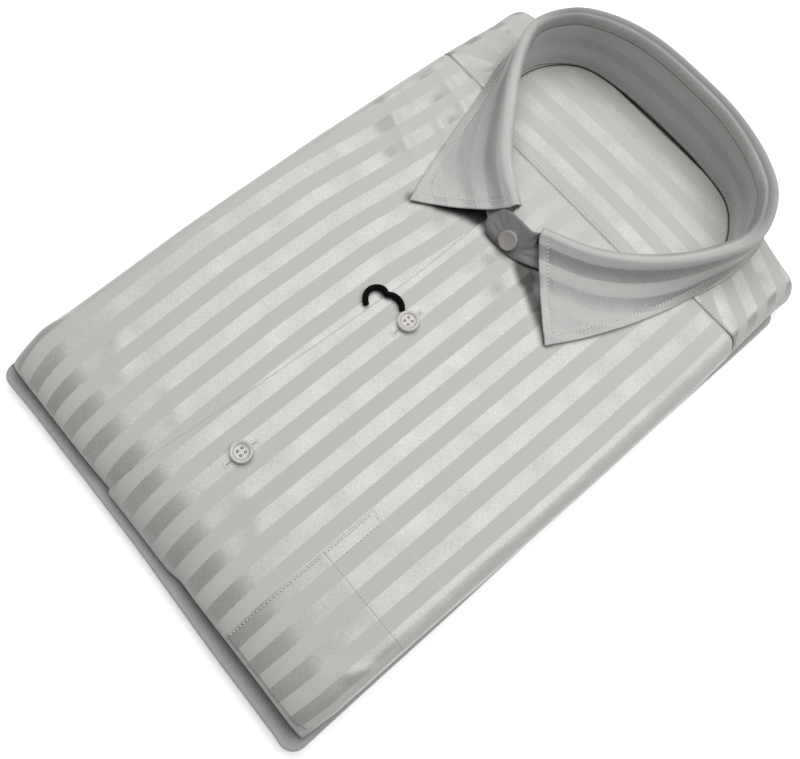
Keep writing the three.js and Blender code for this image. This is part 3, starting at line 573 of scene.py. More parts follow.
def cloth_face(a, b, lift=0.0):
    """A point on the fronts with its ridges, at a lift over them."""
    height = np.asarray(lift) + ridges(a, b, FRONT_RIDGES) + drape(a, b) * 0.8 - 0.35
    height = height - 0.85 * smooth((b - SEAM_Y + 1.3) / 1.5) * smooth((np.abs(a) - 60) / 8)
    return surface(a, b) + normals_of(surface, a, b) * height[..., None]


def spots_at(a, b, rows):
    """Soft round spots (x, y, radius, strength)."""
    return sum(strength * np.exp(-((a - x) ** 2 + (b - y) ** 2) / radius**2) for x, y, radius, strength in rows)


def painted_fade_at(a, b):
    """Painted shade: the satin is painted darker more and more towards the bottom roll, first of all in the
    lower left.
    """
    return 0.08 * smooth((-100 - b) / 40) + 0.08 * smooth((-60 - a) / 50) * smooth((10 - b) / 60)


def line_at(a, b, rows):
    """The strongest of soft bands from (x, y) to (x, y) with a width and strength."""
    total = np.zeros(np.broadcast(a, b).shape)
    for x0, y0, x1, y1, width, strength in rows:
        part = np.clip(((a - x0) * (x1 - x0) + (b - y0) * (y1 - y0)) / ((x1 - x0) ** 2 + (y1 - y0) ** 2), 0, 1)
        gap = np.hypot(a - x0 - part * (x1 - x0), b - y0 - part * (y1 - y0))
        total = np.maximum(total, strength * smooth(1 - (gap - width) / SHADE_FADE))
    return total


def stripe_across(a, b):
    """Stripe periods across the fronts: the wearer's right front bows, and both drift near the bottom."""
    left_drift = np.interp(b, (-180, -165, -121, -60, 0, 27, 71, 110), (6.5, 5.5, 2, 0, 0.6, 3.3, 6.3, 7))
    right_drift = np.interp(b, (-180, -165, -130, -60, 40, 70, 110), (3, 2.6, 0.6, 0, 0, 0.6, 0.8))
    left = (a - left_drift + STRIPE_STARTS[0]) / BOWED_PERIOD
    right = (a - right_drift * np.clip((110 - a) / 60, 0, 1) + STRIPE_STARTS[1]) / PERIOD
    return left, right


def front_top(a):
    """The top edge of a front: along the neck seam, and tucked under the yoke at the shoulder."""
    return np.minimum(SEAM_Y + 0.6, np.interp(a, NECK_X, NECK_Y) - 1)


front_cloth = striped_cloth("front_cloth", (0.60, 0.592, 0.57))
flat_parts = np.linspace(0, 1, 172)
bottom_rows = FLAT_BOTTOM - np.linspace(0, BOTTOM_LENGTH, 34)[1:]
right_across = np.concatenate([np.linspace(-127, -106, 17)[:-1], np.linspace(-106, 15, 81)])


def front_along(a):
    """The b of each grid row, from the neckline or shoulder seam down round the bottom roll."""
    flat = front_top(a)[:, None] * (1 - flat_parts) + FLAT_BOTTOM * flat_parts
    return np.concatenate([flat, np.broadcast_to(bottom_rows, (len(a), len(bottom_rows)))], axis=1)


def front_shell(name, a, b, lift, side, depth, **edges):
    uv = np.stack([stripe_across(a, b)[side], b / PERIOD], -1)
    # Painted shade below the collar's leaves, and painted sheen in spots and towards the bottom roll.
    shade, lean = line_at(a, b, UNDER_LEAVES), spots_at(a, b, PAINTED_SATIN_SPOTS) + painted_fade_at(a, b)
    return shell(name, cloth_face(a, b, lift), uv, front_cloth, depth, shade=shade, lean=lean, **edges)


right_b = front_along(right_across)
right_a = np.broadcast_to(right_across[:, None], right_b.shape)
right_front = front_shell("right_front_cloth", right_a, right_b, 0.0, 0, CLOTH)

edge_parts = np.concatenate([[0, 0.0012, 0.003, 0.006], np.linspace(0, 1, 104)[1:]])
left_b = front_along(LAP_EDGE_X[-1] + (127 - LAP_EDGE_X[-1]) * edge_parts)
lap_edge = np.interp(left_b, LAP_EDGE_Y, LAP_EDGE_X)
left_a = lap_edge + (127 - lap_edge) * edge_parts[:, None]
lap_lift = LAP_LIFT * (1 - smooth((left_a - 17) / 10))
left_depth = PLACKET + (CLOTH - PLACKET) * smooth((left_a - lap_edge - 2) / 30)
left_front = front_shell(
    "left_front_cloth", left_a, left_b, lap_lift, 1, left_depth, rounded=("first",), radius=0.6,
)
sheet_piece(right_front, "right_front", "cloth_front", (0.142, 0.30))
sheet_piece(left_front, "left_front", "cloth_front", (0.150, 0.30))


# ---- Collar curves ----
# Sections of the collar from one front end round the back to the other: neck seam, fold line, leaf's edge.
# The yoke starts at the neck seam, and the leaf and the band, both of fused cloth, follow the three lines.
COLLAR = [
    ((14, 55.5, 29.7), (9, 67, 45), (51.5, 33, 29.2)), ((41, 72, 27.8), (34, 79, 46.5), (62.5, 54, 29.2)),
    ((61, 96, 27.8), (55, 98, 48), (72.6, 79.6, 29.2)),
    ((72, 122, 27.8), (70.5, 120, 52), (80.6, 108.3, 29.2)),
    ((72, 143, 27.8), (77.4, 138.8, 60), (85.5, 136, 29.4)),
    ((63, 157, 27.8), (68.6, 155.1, 65), (80, 165, 30)),
    ((52.5, 164.5, 27.8), (55.5, 163.3, 67), (64, 178.5, 30)),
    ((28, 169, 27.8), (29.7, 171.1, 68), (34, 189, 30)),
    ((1.5, 170, 27.8), (1.5, 172.7, 68.5), (1.5, 191.5, 30)),
    ((-27, 169, 27.8), (-29, 171.1, 68), (-33, 189, 30)),
    ((-49.5, 164.5, 27.8), (-51.5, 163.6, 67), (-60, 179, 30)),
    ((-60, 157, 27.8), (-65.3, 154.3, 65), (-80, 166, 30)),
    ((-69.5, 142, 27.8), (-74.2, 138.5, 60), (-88, 139, 29.4)),
    ((-70, 121, 27.8), (-66.3, 120.2, 52), (-78.3, 113, 29.2)),
    ((-58, 97, 27.8), (-48.4, 98.7, 48), (-69, 86, 29.2)),
    ((-39.5, 73.5, 27.8), (-30.1, 80.2, 46.5), (-58.5, 54.7, 29.2)),
    ((-12.5, 55.5, 29.7), (-9, 67, 45), (-50.5, 33.8, 29.2)),
]
NECK_CENTRE = (1.5, 110.5)
neck_line, ridge_line, edge_line = (np.array([row[k] for row in COLLAR], float) for k in range(3))
neck = curve(neck_line, np.linspace(0, 1, 400))

# ---- Yoke outside and inside, and the back inside the neck ----
# The yoke's stripes run across it and slope down over the shoulders. Its rays go from the neck seam over the
# rolled edges. Inside the neck its stripes lie flat, and below the seam the back shows its matte side.
YOKE_RIDGES = [
    (-112, 131, -76, 128, 3.2, 0.55, 0.02), (-98, 146, -82, 142, 3.4, 0.6, 0.02),
    (-104, 118, -84, 127, 3, 0.35, 0), (-80, 128, -86, 112, 2.6, 0.45, 0.05),
    (84, 126, 114, 108, 4, 0.5, 0.02), (78, 134, 92, 112, 3.5, 0.55, 0.02),
    (92, 148, 114, 128, 4, 0.5, 0.03), (86, 160, 112, 146, 5, 0.4, 0),
]
INNER_RIDGES = [
    (-50, 150, 20, 146, 8, 0.5, 0.03), (-30, 128, 62, 134, 9, 0.45, -0.02),
    (-60, 112, -10, 118, 8, 0.4, 0.02), (20, 112, 60, 120, 7, 0.4, 0.02), (-20, 88, 24, 82, 6, 0.4, 0.02),
]
yoke_cloth = striped_cloth("yoke_cloth", (0.585, 0.577, 0.556))
inside_cloth = striped_cloth("inside_cloth", (0.62, 0.61, 0.588), shine=(0.85, 1.0), unevenness=0.3)

corners = [math.atan2(FLAT_TOP - NECK_CENTRE[1], a - NECK_CENTRE[0]) for a in (FLAT_X, -FLAT_X)]
seam_angle = math.atan2(0.15, FLAT_X)
fan = math.radians(7)
stops = [seam_angle, *[c + k * fan for c in corners for k in (-1, 0, 1)], math.pi - seam_angle]
counts = (26, 12, 12, 60, 12, 12, 26)
spans = [np.linspace(a, b, n + 1)[1:] for a, b, n in zip(stops, stops[1:], counts)]
angles = np.concatenate([[seam_angle], *spans])
dx, dy = np.cos(angles), np.sin(angles)
offsets = neck[:, :2] - NECK_CENTRE
neck_turn = np.mod(np.arctan2(offsets[:, 1], offsets[:, 0]) + math.pi / 2, 2 * math.pi)
order = np.argsort(neck_turn)
neck_reach = np.interp(angles + math.pi / 2, neck_turn[order], np.hypot(*offsets.T)[order]) + 1
side_reach = (FLAT_X - np.sign(dx) * NECK_CENTRE[0]) / np.maximum(np.abs(dx), 1e-6)
top_reach = (FLAT_TOP - NECK_CENTRE[1]) / dy
flat_reach = np.minimum(side_reach, top_reach)
near_corner = np.max([np.zeros_like(angles), *[1 - np.abs(angles - c) / fan for c in corners]], axis=0)
to_side = side_reach < top_reach
over_side = np.sign(dx) * SIDE_LENGTH * np.where(to_side, 1, near_corner)
over_top = TOP_LENGTH * np.where(to_side, near_corner, 1)
flat_part, past_part = np.linspace(0, 1, 34), np.linspace(0, 1, 20)[1:]
start_a, stop_a = NECK_CENTRE[0] + neck_reach * dx, NECK_CENTRE[0] + flat_reach * dx
start_b, stop_b = along_at(start_a, NECK_CENTRE[1] + neck_reach * dy), NECK_CENTRE[1] + flat_reach * dy


def ray(start, stop, over):
    flat = start[:, None] * (1 - flat_part) + stop[:, None] * flat_part
    return np.concatenate([flat, stop[:, None] + past_part * over[:, None]], axis=1)


def yoke_height(x, y):
    return ridges(x, y, YOKE_RIDGES) + 0.6 * drape(x, y) - 0.25


yoke_a, yoke_b = ray(start_a, stop_a, over_side), ray(start_b, stop_b, over_top)
yoke = surface(yoke_a, yoke_b)
yoke_x, yoke_y = yoke[..., 0], yoke[..., 1]
yoke = yoke + grid_normals(yoke) * yoke_height(yoke_x, yoke_y)[..., None]
past_side, past_top = np.clip(np.abs(yoke_a) - FLAT_X, 0, None), np.clip(yoke_b - FLAT_TOP, 0, None)
cloth_x = np.abs(yoke_x) + past_side - roll(past_side, SIDE_WIDTH, SIDE_LENGTH, SIDE_TURN)[0]
cloth_y = yoke_y + past_top - roll(past_top, TOP_WIDTH, TOP_LENGTH, END_TURN)[0]
to_right = smooth((yoke_x + 60) / 120)
slope_line = cloth_y + (0.6 - 0.1 * to_right) * (np.sqrt(cloth_x**2 + 900) - 95)
yoke_uv = np.stack([(slope_line - 119 - 1.7 * to_right) / (16.8 - 1.6 * to_right), yoke_x / PERIOD], -1)
yoke_outer = shell(
    "yoke_outer_cloth", yoke, yoke_uv, yoke_cloth, CLOTH, rounded=("first", "last"), radius=0.4,
)


def neck_side(side, y):
    """Where a piece inside the neck ends: inside the seam in front, under the band behind the shoulders."""
    samples = neck[side * neck[:, 0] > 0]
    samples = samples[np.argsort(samples[:, 1])]
    return np.interp(y, samples[:, 1], samples[:, 0]) + side * np.interp(y, (104, 114), (-0.9, 0.2))


def inner_height(x, y):
    return ridges(x, y, INNER_RIDGES) + 0.9 * drape(x + 20, y) - 0.5


def neck_piece(name, from_y, to_y, count, material, uv_of):
    part, y = grid(np.linspace(0, 1, 90), np.linspace(to_y, from_y, count))
    x = neck_side(-1, y) * (1 - part) + neck_side(1, y) * part
    points = surface(x, along_at(x, y))
    points[..., 2] += inner_height(x, y)
    return shell(name, points, uv_of(x, y), material, CLOTH)


yoke_inside = neck_piece(
    "yoke_inside_cloth", 99.15, 168.5, 60, yoke_cloth,
    lambda a, b: np.stack([(b - 109.5 - 1.5 * np.cos(a / 40)) / 14.9, a / PERIOD], -1),
)
back_inside = neck_piece(
    "back_inside_cloth", 60, 98.85, 34, inside_cloth,
    lambda a, b: np.stack([a / PERIOD + 0.1, b / PERIOD], -1),
)
sheet_piece(yoke_outer, "yoke_outer", "cloth_yoke", (0.25, 0.085))
sheet_piece(yoke_inside, "yoke_inside", "cloth_yoke", (0.14, 0.07))
sheet_piece(back_inside, "back_inside", "cloth_inside", (0.115, 0.04))


# ---- Collar band and leaf ----
# The leaf hooks over the fold line and falls outwards to its free edge. The band stands inside, from the neck
# seam to the leaf's hook, and its outer end laps over in front, rounded and with small drawn-in creases.
RIDGE_RADIUS = 3.0
ROLL_REACH = (3.2, 3.2, 3.2, 3.6, 5.2, 6.5, 6.5, 6, 5.8, 5.8, 5.6, 5, 4, 3.4, 4.2, 4.4, 3.4)
LEAF_HOOK, BAND_CLEAR = 2.2, 0.4
LEAF_THICK, BAND_THICK = 1.1, 1.3
LEAF_PERIOD, LEAF_START = 14.8, 10.8    # its stripes are a little closer, and the first starts below the ridge
LEAF_FALL = ((0.13, 0.42), (0.38, 0.72), (0.68, 0.92), (1, 1))
SEAM_IN = 4.6                 # from the leaf's edge to its row of stitches
# Paint in the fold of the collar's back: distance down the leaf from the ridge, and shade.
FOLD_DOWN = (-6.5, -3.5, -1.1, -0.8, -0.45, -0.2, 0.6, 2.5, 5, 9)
FOLD_SHADE = (0.08, 0.22, 0.5, 0.32, 0.3, 0.55, 0.55, 0.4, 0.16, 0.12)
BAND_LAP = [
    ((-15.5, 54.5, 34.5), (-14.5, 58.5, 38.5)), ((-14, 52.2, 32.2), (-12.5, 61.5, 41.2)),
    ((-9, 51.2, 31), (-8, 63, 43.2)), ((1.5, 51.5, 30.6), (1.5, 63.5, 43.7)), ((8, 53, 29.6), (6, 64, 43.2)),
]
BAND_UNDER = [((-8, 54, 29), (-6, 65, 41.8)), ((-2, 54, 29), (-1, 65.5, 41.8))]
UP = np.array([0.0, 0.0, 1.0])


def collar_stations(parts):
    ridge = curve(ridge_line, parts)
    ahead = curve(ridge_line, np.minimum(parts + 1e-4, 1)) - curve(ridge_line, np.maximum(parts - 1e-4, 0))
    out = np.cross(unit(ahead * (1, 1, 0)), UP)
    base = curve(neck_line, parts)
    down = unit(base - ridge)
    centre = ridge - UP * RIDGE_RADIUS
    return ridge, out, base, down, centre, centre - out * RIDGE_RADIUS, curve(edge_line, parts)


collar_cloth = striped_cloth("collar_cloth", (0.61, 0.602, 0.586), shine=(0.68, 1.04))
band_cloth = striped_cloth("band_cloth", (0.56, 0.556, 0.552), shine=(0.94, 1.02), unevenness=0.4)

leaf_parts = np.array([0, 0.0008, 0.002, 0.004])
leaf_parts = np.concatenate([leaf_parts, np.linspace(0.007, 0.993, 231), 1 - leaf_parts[::-1]])
ridge, out, base, down, centre, inside, edge = collar_stations(leaf_parts)
roll_reach = curve([(k, reach, 0) for k, reach in enumerate(ROLL_REACH)], leaf_parts)[:, 1:2]
controls = [inside + down * LEAF_HOOK]
for degrees in (165, 125, 90, 55, 20):
    turn = math.radians(degrees)
    outwards = RIDGE_RADIUS if degrees > 90 else roll_reach
    controls.append(centre + out * outwards * math.cos(turn) + UP * RIDGE_RADIUS * math.sin(turn))
brow = ridge + out * roll_reach
for reach, drop in LEAF_FALL:
    point = brow + (edge - brow) * reach
    point[:, 2] = ridge[:, 2] + (edge[:, 2] - ridge[:, 2]) * drop
    controls.append(point)
controls = np.stack(controls, axis=1)
section = [np.linspace(0, 6 / 9, 22)[:-1], np.linspace(6 / 9, 0.985, 26), [0.99, 0.994, 0.997, 0.999, 1]]
section = np.concatenate(section)
leaf = np.stack([curve(row, section) for row in controls])
leaf_up = grid_normals(leaf)
leaf_far = from_side(leaf, "start")
ridge_far = np.array([np.interp(3 / 9, section, row) for row in leaf_far])[:, None]
leaf_down = leaf_far - ridge_far
leaf_walk = np.minimum(from_side(leaf, "first"), from_side(leaf, "last"))
edge_gap = np.minimum(from_side(leaf, "end"), np.where(leaf_down > 1, leaf_walk, 99))
seam_groove = -0.32 * bell(edge_gap, SEAM_IN, 0.7)
leaf_wave = 0.5 * np.sin(leaf_walk / 21 + leaf_down / 30) * smooth(leaf_down / 25)
leaf_wave = seam_groove + leaf_wave * smooth((leaf_walk - 6) / 30)
leaf = leaf + leaf_up * leaf_wave[..., None]
leaf_uv = np.stack([(leaf_down - LEAF_START) / LEAF_PERIOD, from_side(leaf, "first") / PERIOD], -1)
leaf_place = 16 * leaf_parts[:, None]
at_back = smooth((leaf_place - 3.3) / 1.4) * smooth((12.4 - leaf_place) / 1.4)
on_left = smooth((leaf_place - 12.2) / 1.2) * smooth((15.8 - leaf_place) / 1.2)
on_right = (1 - at_back) * (1 - on_left)
# Painted shade in the collar's fold at the back, in a band below the left leaf's ridge and in two bands on the
# right leaf. Painted sheen darkens the satin further down the front leaves.
back_shade = np.clip(np.interp(leaf_down, FOLD_DOWN, FOLD_SHADE) + 0.05, 0, 0.6)
left_shade = 0.3 * bell(leaf_down, 10.5, 4) + 0.2 * smooth((leaf_down - 9) / 5) * smooth((45 - leaf_down) / 12)
right_shade = 0.22 * bell(leaf_down, 9.5, 4) + 0.16 * bell(leaf_down, 24, 4)
collar_leaf = shell(
    "collar_leaf_cloth", leaf, leaf_uv, collar_cloth, LEAF_THICK, rounded=("first", "last", "end"),
    radius=0.5, shade=at_back * back_shade + on_left * left_shade + on_right * right_shade,
    lean=(0.2 - 0.07 * on_left) * smooth((leaf_down - 4) / 3) * (1 - at_back),
)

ring_parts = np.linspace(0, 1, 170)
_, _, ring_base, ring_down, _, ring_inside, _ = collar_stations(ring_parts)
ring_top = ring_inside + ring_down * (LEAF_HOOK + BAND_CLEAR)
lap_parts, under_parts = np.linspace(0, 1, 50)[:-1], np.linspace(0, 1, 12)[1:]
band_base, band_top = (
    np.concatenate([
        curve([row[k] for row in BAND_LAP] + [tuple(ring[0])], lap_parts), ring,
        curve([tuple(ring[-1])] + [row[k] for row in BAND_UNDER], under_parts),
    ])
    for k, ring in enumerate((ring_base, ring_top))
)
height_parts = np.concatenate([[0, 0.02, 0.05], np.linspace(0.1, 0.9, 17), [0.95, 0.98, 1]])
band = band_base[:, None] + (band_top - band_base)[:, None] * height_parts[None, :, None]
band_up = grid_normals(band)
band_u, band_v = from_side(band, "first"), from_side(band, "start")
# Creases of the lap: from a point on it, across and up in mm along the band, to another.
BAND_RIDGES = [
    (21, 5, 34, 8.5, 0.9, 0.45, 0.05), (21, 6.5, 32, 12, 0.8, 0.4, -0.04), (21, 4, 35, 3, 0.9, 0.4, 0.05),
    (11, 8, 3, 11, 1.0, 0.4, 0.05), (11, 5, 2.5, 5.5, 0.9, 0.35, -0.05), (12, 10, 6, 15, 0.9, 0.35, 0.04),
    (16, 11, 17, 17, 1.1, 0.35, 0.05), (24, 10, 27, 16, 1.0, 0.35, 0.05),
]
band_height = ridges(band_u, band_v, BAND_RIDGES) - 0.15 * bell(band_v, 1.8, 0.5)
band = band + band_up * band_height[..., None]
band_uv = np.stack([(band_v + 3) / PERIOD, band_u / PERIOD], -1)
# Painted shade: the band's lap is darker, and darker still low down near its front end.
band_shade = 0.53 * smooth((44 - band_u) / 12) + 0.2 * smooth((26 - band_u) / 8) * smooth((4 - band_v) / 3)
collar_band = shell(
    "collar_band_cloth", band, band_uv, band_cloth, BAND_THICK, rounded=("first", "start", "end"),
    radius=0.5, shade=band_shade,
)


# ---- Pocket ----
# A patch of the front's cloth, sewn on the left front with its stripes matched. The hem is folded over its
# upper end, and the pocket's right side goes round the rolled edge.
POCKET_LEFT, POCKET_TOP, HEM_BOTTOM = 58.4, -82, -111.6
BAG_LIFT, HEM_LIFT = 0.95, 1.2
EDGE_STEPS = np.array([0, 0.15, 0.4, 0.8])
# Patches of painted highlight on the pocket's satin: x, y, radius, lean.
POCKET_SPOTS = [(70, -126, 5, -0.12), (84, -130, 5, -0.14), (98, -124, 6, -0.14)]
pocket_across = np.concatenate([POCKET_LEFT + EDGE_STEPS, np.linspace(59.8, 116.5, 48)])
hem_along = [POCKET_TOP - EDGE_STEPS, np.linspace(-83.6, -110.8, 24), HEM_BOTTOM + EDGE_STEPS[2::-1]]
hem_along = np.concatenate(hem_along)
bag_along = np.concatenate([np.linspace(HEM_BOTTOM + 1, -141, 24), np.linspace(-141, -161, 22)[1:]])


def pocket_piece(name, along, lift, thickness, rounded):
    a, b = grid(pocket_across, along)
    points = cloth_face(a, b, lift - 0.25 * bell(a, POCKET_LEFT + 2.2, 1.2))
    uv = np.stack([stripe_across(a, b)[1], b / PERIOD], -1)
    # Painted sheen: darker towards the bottom roll and on the bag below the hem, lighter in the highlight
    # patches.
    lean = painted_fade_at(a, b) + 0.09 * smooth((HEM_BOTTOM - b) / 2) + spots_at(a, b, POCKET_SPOTS)
    return shell(name, points, uv, front_cloth, thickness, rounded=rounded, radius=0.4, lean=lean)


pocket = pocket_piece("pocket_cloth", bag_along, BAG_LIFT, CLOTH, ("first",))
pocket_hem = pocket_piece("pocket_hem_cloth", hem_along, HEM_LIFT, 1.0, ("first", "start", "end"))


# ---- Stitching ----
# White cotton thread in short stitches along the seams, with small dark capsules between them that paint the
# shade in the needle holes. Each row is one mesh of small capsules, laid on its cloth and half sunk in it.
STITCH, STITCH_PITCH, STITCH_RADIUS = 1.3, 1.95, 0.25
THREAD_SIDES = 5

thread_cotton = speckled(
    "thread_cotton", 1800.0, 2.0, (0.66, 0.65, 0.63), (0.84, 0.83, 0.80), Roughness=0.6, Sheen_Weight=0.2,
)[0]
# Dark thread for the band's buttonhole; this material also paints the shade in needle holes and slits.
dark_thread_and_hole_shade = speckled(
    "dark_thread_and_hole_shade", 1500.0, 2.0, (0.03, 0.027, 0.027), (0.09, 0.082, 0.08), Roughness=0.7,
)[0]


def capsules(name, places, directions, normals, length, radius, material=thread_cotton):
    """Small five-sided capsules that lie along directions at places."""
    given = (np.asarray(values, float) for values in (places, directions, normals))
    places, directions, normals = np.broadcast_arrays(*given)
    side = unit(np.cross(directions, normals))
    rings = []
    for along, size in ((-0.5, 0.45), (-0.32, 1), (0.32, 1), (0.5, 0.45)):
        for turn in np.linspace(0, 2 * math.pi, THREAD_SIDES, endpoint=False):
            around = side * math.cos(turn) + normals * math.sin(turn)
            rings.append(places + directions * length * along + radius * size * around)
    pattern = ring_faces(4, THREAD_SIDES) + [(4, 3, 2, 1, 0), (15, 16, 17, 18, 19)]
    faces = [tuple(len(rings) * n + v for v in face) for n in range(len(places)) for face in pattern]
    return mesh_object(name, np.stack(rings, axis=1).reshape(-1, 3), faces, material)


def choose(*things):
    """Selects only these objects, the first of them as the active one, or nothing at all."""
    bpy.ops.object.select_all(action="DESELECT")
    for thing in things[::-1]:
        thing.select_set(True)
        bpy.context.view_layer.objects.active = thing


def join(name, parts):
    choose(*parts)
    bpy.ops.object.join()
    parts[0].name = name
    return parts[0]


def stitch_row(name, points, normals, sunk=0.02, pit=0.13):
    """A row of stitches sunk into a cloth along a line, with needle holes of a radius between them, painted
    dark as their shade.
    """
    walk = walk_along(points)

    def on(values, where):
        return np.stack([np.interp(where, walk, values[:, k]) for k in range(3)], axis=1)

    at = np.arange(STITCH_PITCH, walk[-1] - STITCH_PITCH / 2, STITCH_PITCH)
    places, up = on(points, at), unit(on(normals, at))
    directions = unit(on(points, np.minimum(at + 0.3, walk[-1])) - on(points, at - 0.3))
    row = capsules(name, places - up * sunk, directions, up, STITCH, STITCH_RADIUS)
    holes = places + directions * STITCH_PITCH / 2
    return join(name, [row, capsules(f"{name}_pits", holes, directions, up, 0.5, pit, dark_thread_and_hole_shade)])


def grid_row(name, points, far, distance, axis, covers, depth=0.0):
    """A stitch row where far, a distance over a grid, first reaches a value along an axis. covers says which
    stations it has, and depth puts it on the other face of a wall."""
    lines, sources = [[], []], (points, grid_normals(points))
    for k in range(points.shape[1 - axis]):
        row = (k, slice(None)) if axis == 1 else (slice(None), k)
        order = np.argsort(far[row])
        for line, values in zip(lines, sources):
            line.append([np.interp(distance, far[row][order], values[row][order, c]) for c in range(3)])
    spots, ups = np.array(lines[0]), unit(np.array(lines[1]))
    return stitch_row(name, (spots - ups * depth)[covers], (-ups if depth else ups)[covers])


def face_row(name, a_from, b_from, a_to, b_to, lift, *sunk_and_pit):
    """A stitch row between two places on the fronts."""
    a, b = np.linspace(a_from, a_to, 120), np.linspace(b_from, b_to, 120)
    points = cloth_face(a, b, lift)
    normals = normals_of(lambda p, q: cloth_face(p, q, lift), a, b)
    return stitch_row(name, points, normals, *sunk_and_pit)


end_far = from_side(leaf, "end")
beside_edge = (leaf_down[0] > 1.5) & (end_far[0] > SEAM_IN)
leaf_stitches = attach(join("leaf_stitches", [
    grid_row("leaf_edge_stitches", leaf, end_far, SEAM_IN, 1, leaf_walk[:, -1] > SEAM_IN),
    grid_row("leaf_first_stitches", leaf, from_side(leaf, "first"), SEAM_IN, 0, beside_edge),
    grid_row("leaf_last_stitches", leaf, from_side(leaf, "last"), SEAM_IN, 0, beside_edge),
]), "cloth_collar")

ring_range = slice(len(lap_parts) + 2, len(lap_parts) + 168)
band_stitches = attach(join("band_stitches", [
    grid_row("band_lower_stitches", band, band_v, 1.8, 1, slice(3, None)),
    grid_row("band_inner_stitches", band, band_v, 2.6, 1, ring_range, BAND_THICK + 0.02),
    grid_row("band_top_stitches", band, from_side(band, "end"), 1.6, 1, slice(3, 46)),
]), "cloth_collar")

pocket_stitches = attach(join("pocket_stitches", [
    face_row("pocket_left_row", 59.5, -83, 59.5, -111.4, HEM_LIFT),
    face_row("pocket_left_low_row", 59.6, -112, 59.6, -160, BAG_LIFT),
    face_row("pocket_bar_row", 65.4, -83, 65.4, -111.2, HEM_LIFT),
    face_row("pocket_top_row", 59.8, -83.2, 65.2, -83.2, HEM_LIFT),
    face_row("pocket_hem_row", 66, -110.2, 115, -110.2, HEM_LIFT, 0.16, 0.04),
]), "cloth_front")

yoke_rows = []
for side in (-1, 1):
    a = side * np.linspace(73, 122, 120)
    b = np.full_like(a, SEAM_Y + 1.9)
    spots, ups = surface(a, b), normals_of(surface, a, b)
    height = yoke_height(spots[:, 0], spots[:, 1])
    yoke_rows.append(stitch_row(f"yoke_row_{side}", spots + ups * height[:, None], ups, 0.12, 0.06))
yoke_stitches = attach(join("yoke_stitches", yoke_rows), "cloth_yoke")

a = np.linspace(-58, 60, 200)
b = np.full_like(a, 101.4)
points = surface(a, b)
points[:, 2] += inner_height(a, b)
attach(stitch_row("inner_yoke_stitches", points, np.broadcast_to(UP, points.shape)), "cloth_yoke")


# ---- Buttonholes ----
# Cotton whip stitches round each slit in the lap, with a bar at both ends. The button covers most of them, and
# only the ends show beside it.
HOLE_HALF, HOLE_WIDTH = 8.8, 1.55
BUTTON_YS = (-10.7, -111.4)


def buttonhole(name, y):
    middle = y - 0.4
    whips = [
        (side * HOLE_WIDTH * 0.62, middle + step, 1, 0.12 * side)
        for step in np.arange(-HOLE_HALF, HOLE_HALF + 0.01, 0.42) for side in (-1, 1)
    ]
    whips += [
        (step, middle + end * (HOLE_HALF + 0.45), 0.06, 1)
        for end in (-1, 1) for step in np.linspace(-HOLE_WIDTH, HOLE_WIDTH, 8)
    ]
    x, y, dx, dy = np.array(whips).T
    directions = unit(np.stack([dx, dy, 0 * dx], axis=1))
    whip = capsules(name, cloth_face(x, y, LAP_LIFT + 0.03), directions, UP, 1.35, 0.16)
    # Dark capsules along the middle paint the shade in the open slit.
    steps = np.linspace(0.8 - HOLE_HALF, HOLE_HALF - 0.8, 15)
    slit = cloth_face(0 * steps, middle + steps, LAP_LIFT + 0.1)
    return join(name, [whip, capsules(f"{name}_slit", slit, (0, 1, 0), UP, 1.2, 0.13, dark_thread_and_hole_shade)])


holes = [buttonhole(f"buttonhole_{k}", y) for k, y in enumerate(BUTTON_YS)]
buttonholes = attach(join("buttonholes", holes), "cloth_front")

# ---- Front buttons ----
# Four-hole buttons of pearly resin: turned discs with a raised round rim and a shallow dish, bored by four
# drills and sewn on through the lap.
BUTTON_RADIUS, BUTTON_DEPTH, DRILL_RADIUS, HOLE_OUT = 5.45, 2.8, 0.72, 1.3
button_pearl, tree, shader, swirl = speckled(
    "button_pearl", 210.0, 4.0, (0.52, 0.505, 0.48), (0.68, 0.66, 0.63), 1.6, Coat_Weight=0.4,
    Coat_Roughness=0.08, Subsurface_Weight=0.15, Subsurface_Radius=(0.002, 0.002, 0.0018),
)
fill(tree, shader, {"Roughness": put(tree, "MapRange", Value=swirl, _3=0.18, _4=0.30)})


def cylinder(vertices, radius, depth, centre):
    choose()
    bpy.ops.mesh.primitive_cylinder_add(
        vertices=vertices, radius=radius * MM, depth=depth * MM, location=[c * MM for c in centre],
    )
    return bpy.context.object


def disc(name, radius, depth, centre, steps):
    """A round disc, its upper face then inset and lowered by (inset, height) steps, all in mm."""
    thing = cylinder(72, radius, depth, centre)
    thing.name = name
    bpy.ops.object.transform_apply(location=True, rotation=True, scale=True)
    bpy.ops.object.mode_set(mode="EDIT")
    bpy.ops.mesh.select_mode(type="FACE")
    bpy.ops.mesh.select_all(action="DESELECT")
    bpy.ops.object.mode_set(mode="OBJECT")
    for face in thing.data.polygons:
        face.select = face.normal.z > 0.9
    bpy.ops.object.mode_set(mode="EDIT")
    for inset, lift in steps:
        bpy.ops.mesh.inset(thickness=inset * MM)
        bpy.ops.transform.translate(value=(0, 0, lift * MM))
    bpy.ops.object.mode_set(mode="OBJECT")
    return thing


def apply_modifier(thing, kind, **settings):
    modifier = thing.modifiers.new(kind, kind)
    for key, value in settings.items():
        setattr(modifier, key, value)
    choose(thing)
    bpy.ops.object.modifier_apply(modifier=modifier.name)


def soften(thing, width, segments):
    apply_modifier(
        thing, "BEVEL", width=width * MM, segments=segments, limit_method="ANGLE", angle_limit=math.radians(35),
    )


def finish_button(body, angle, material, slot, node):
    choose(body)
    bpy.ops.object.shade_smooth_by_angle(angle=math.radians(angle))
    body.data.materials.clear()
    body.data.materials.append(material)
    attach(body, slot, node)


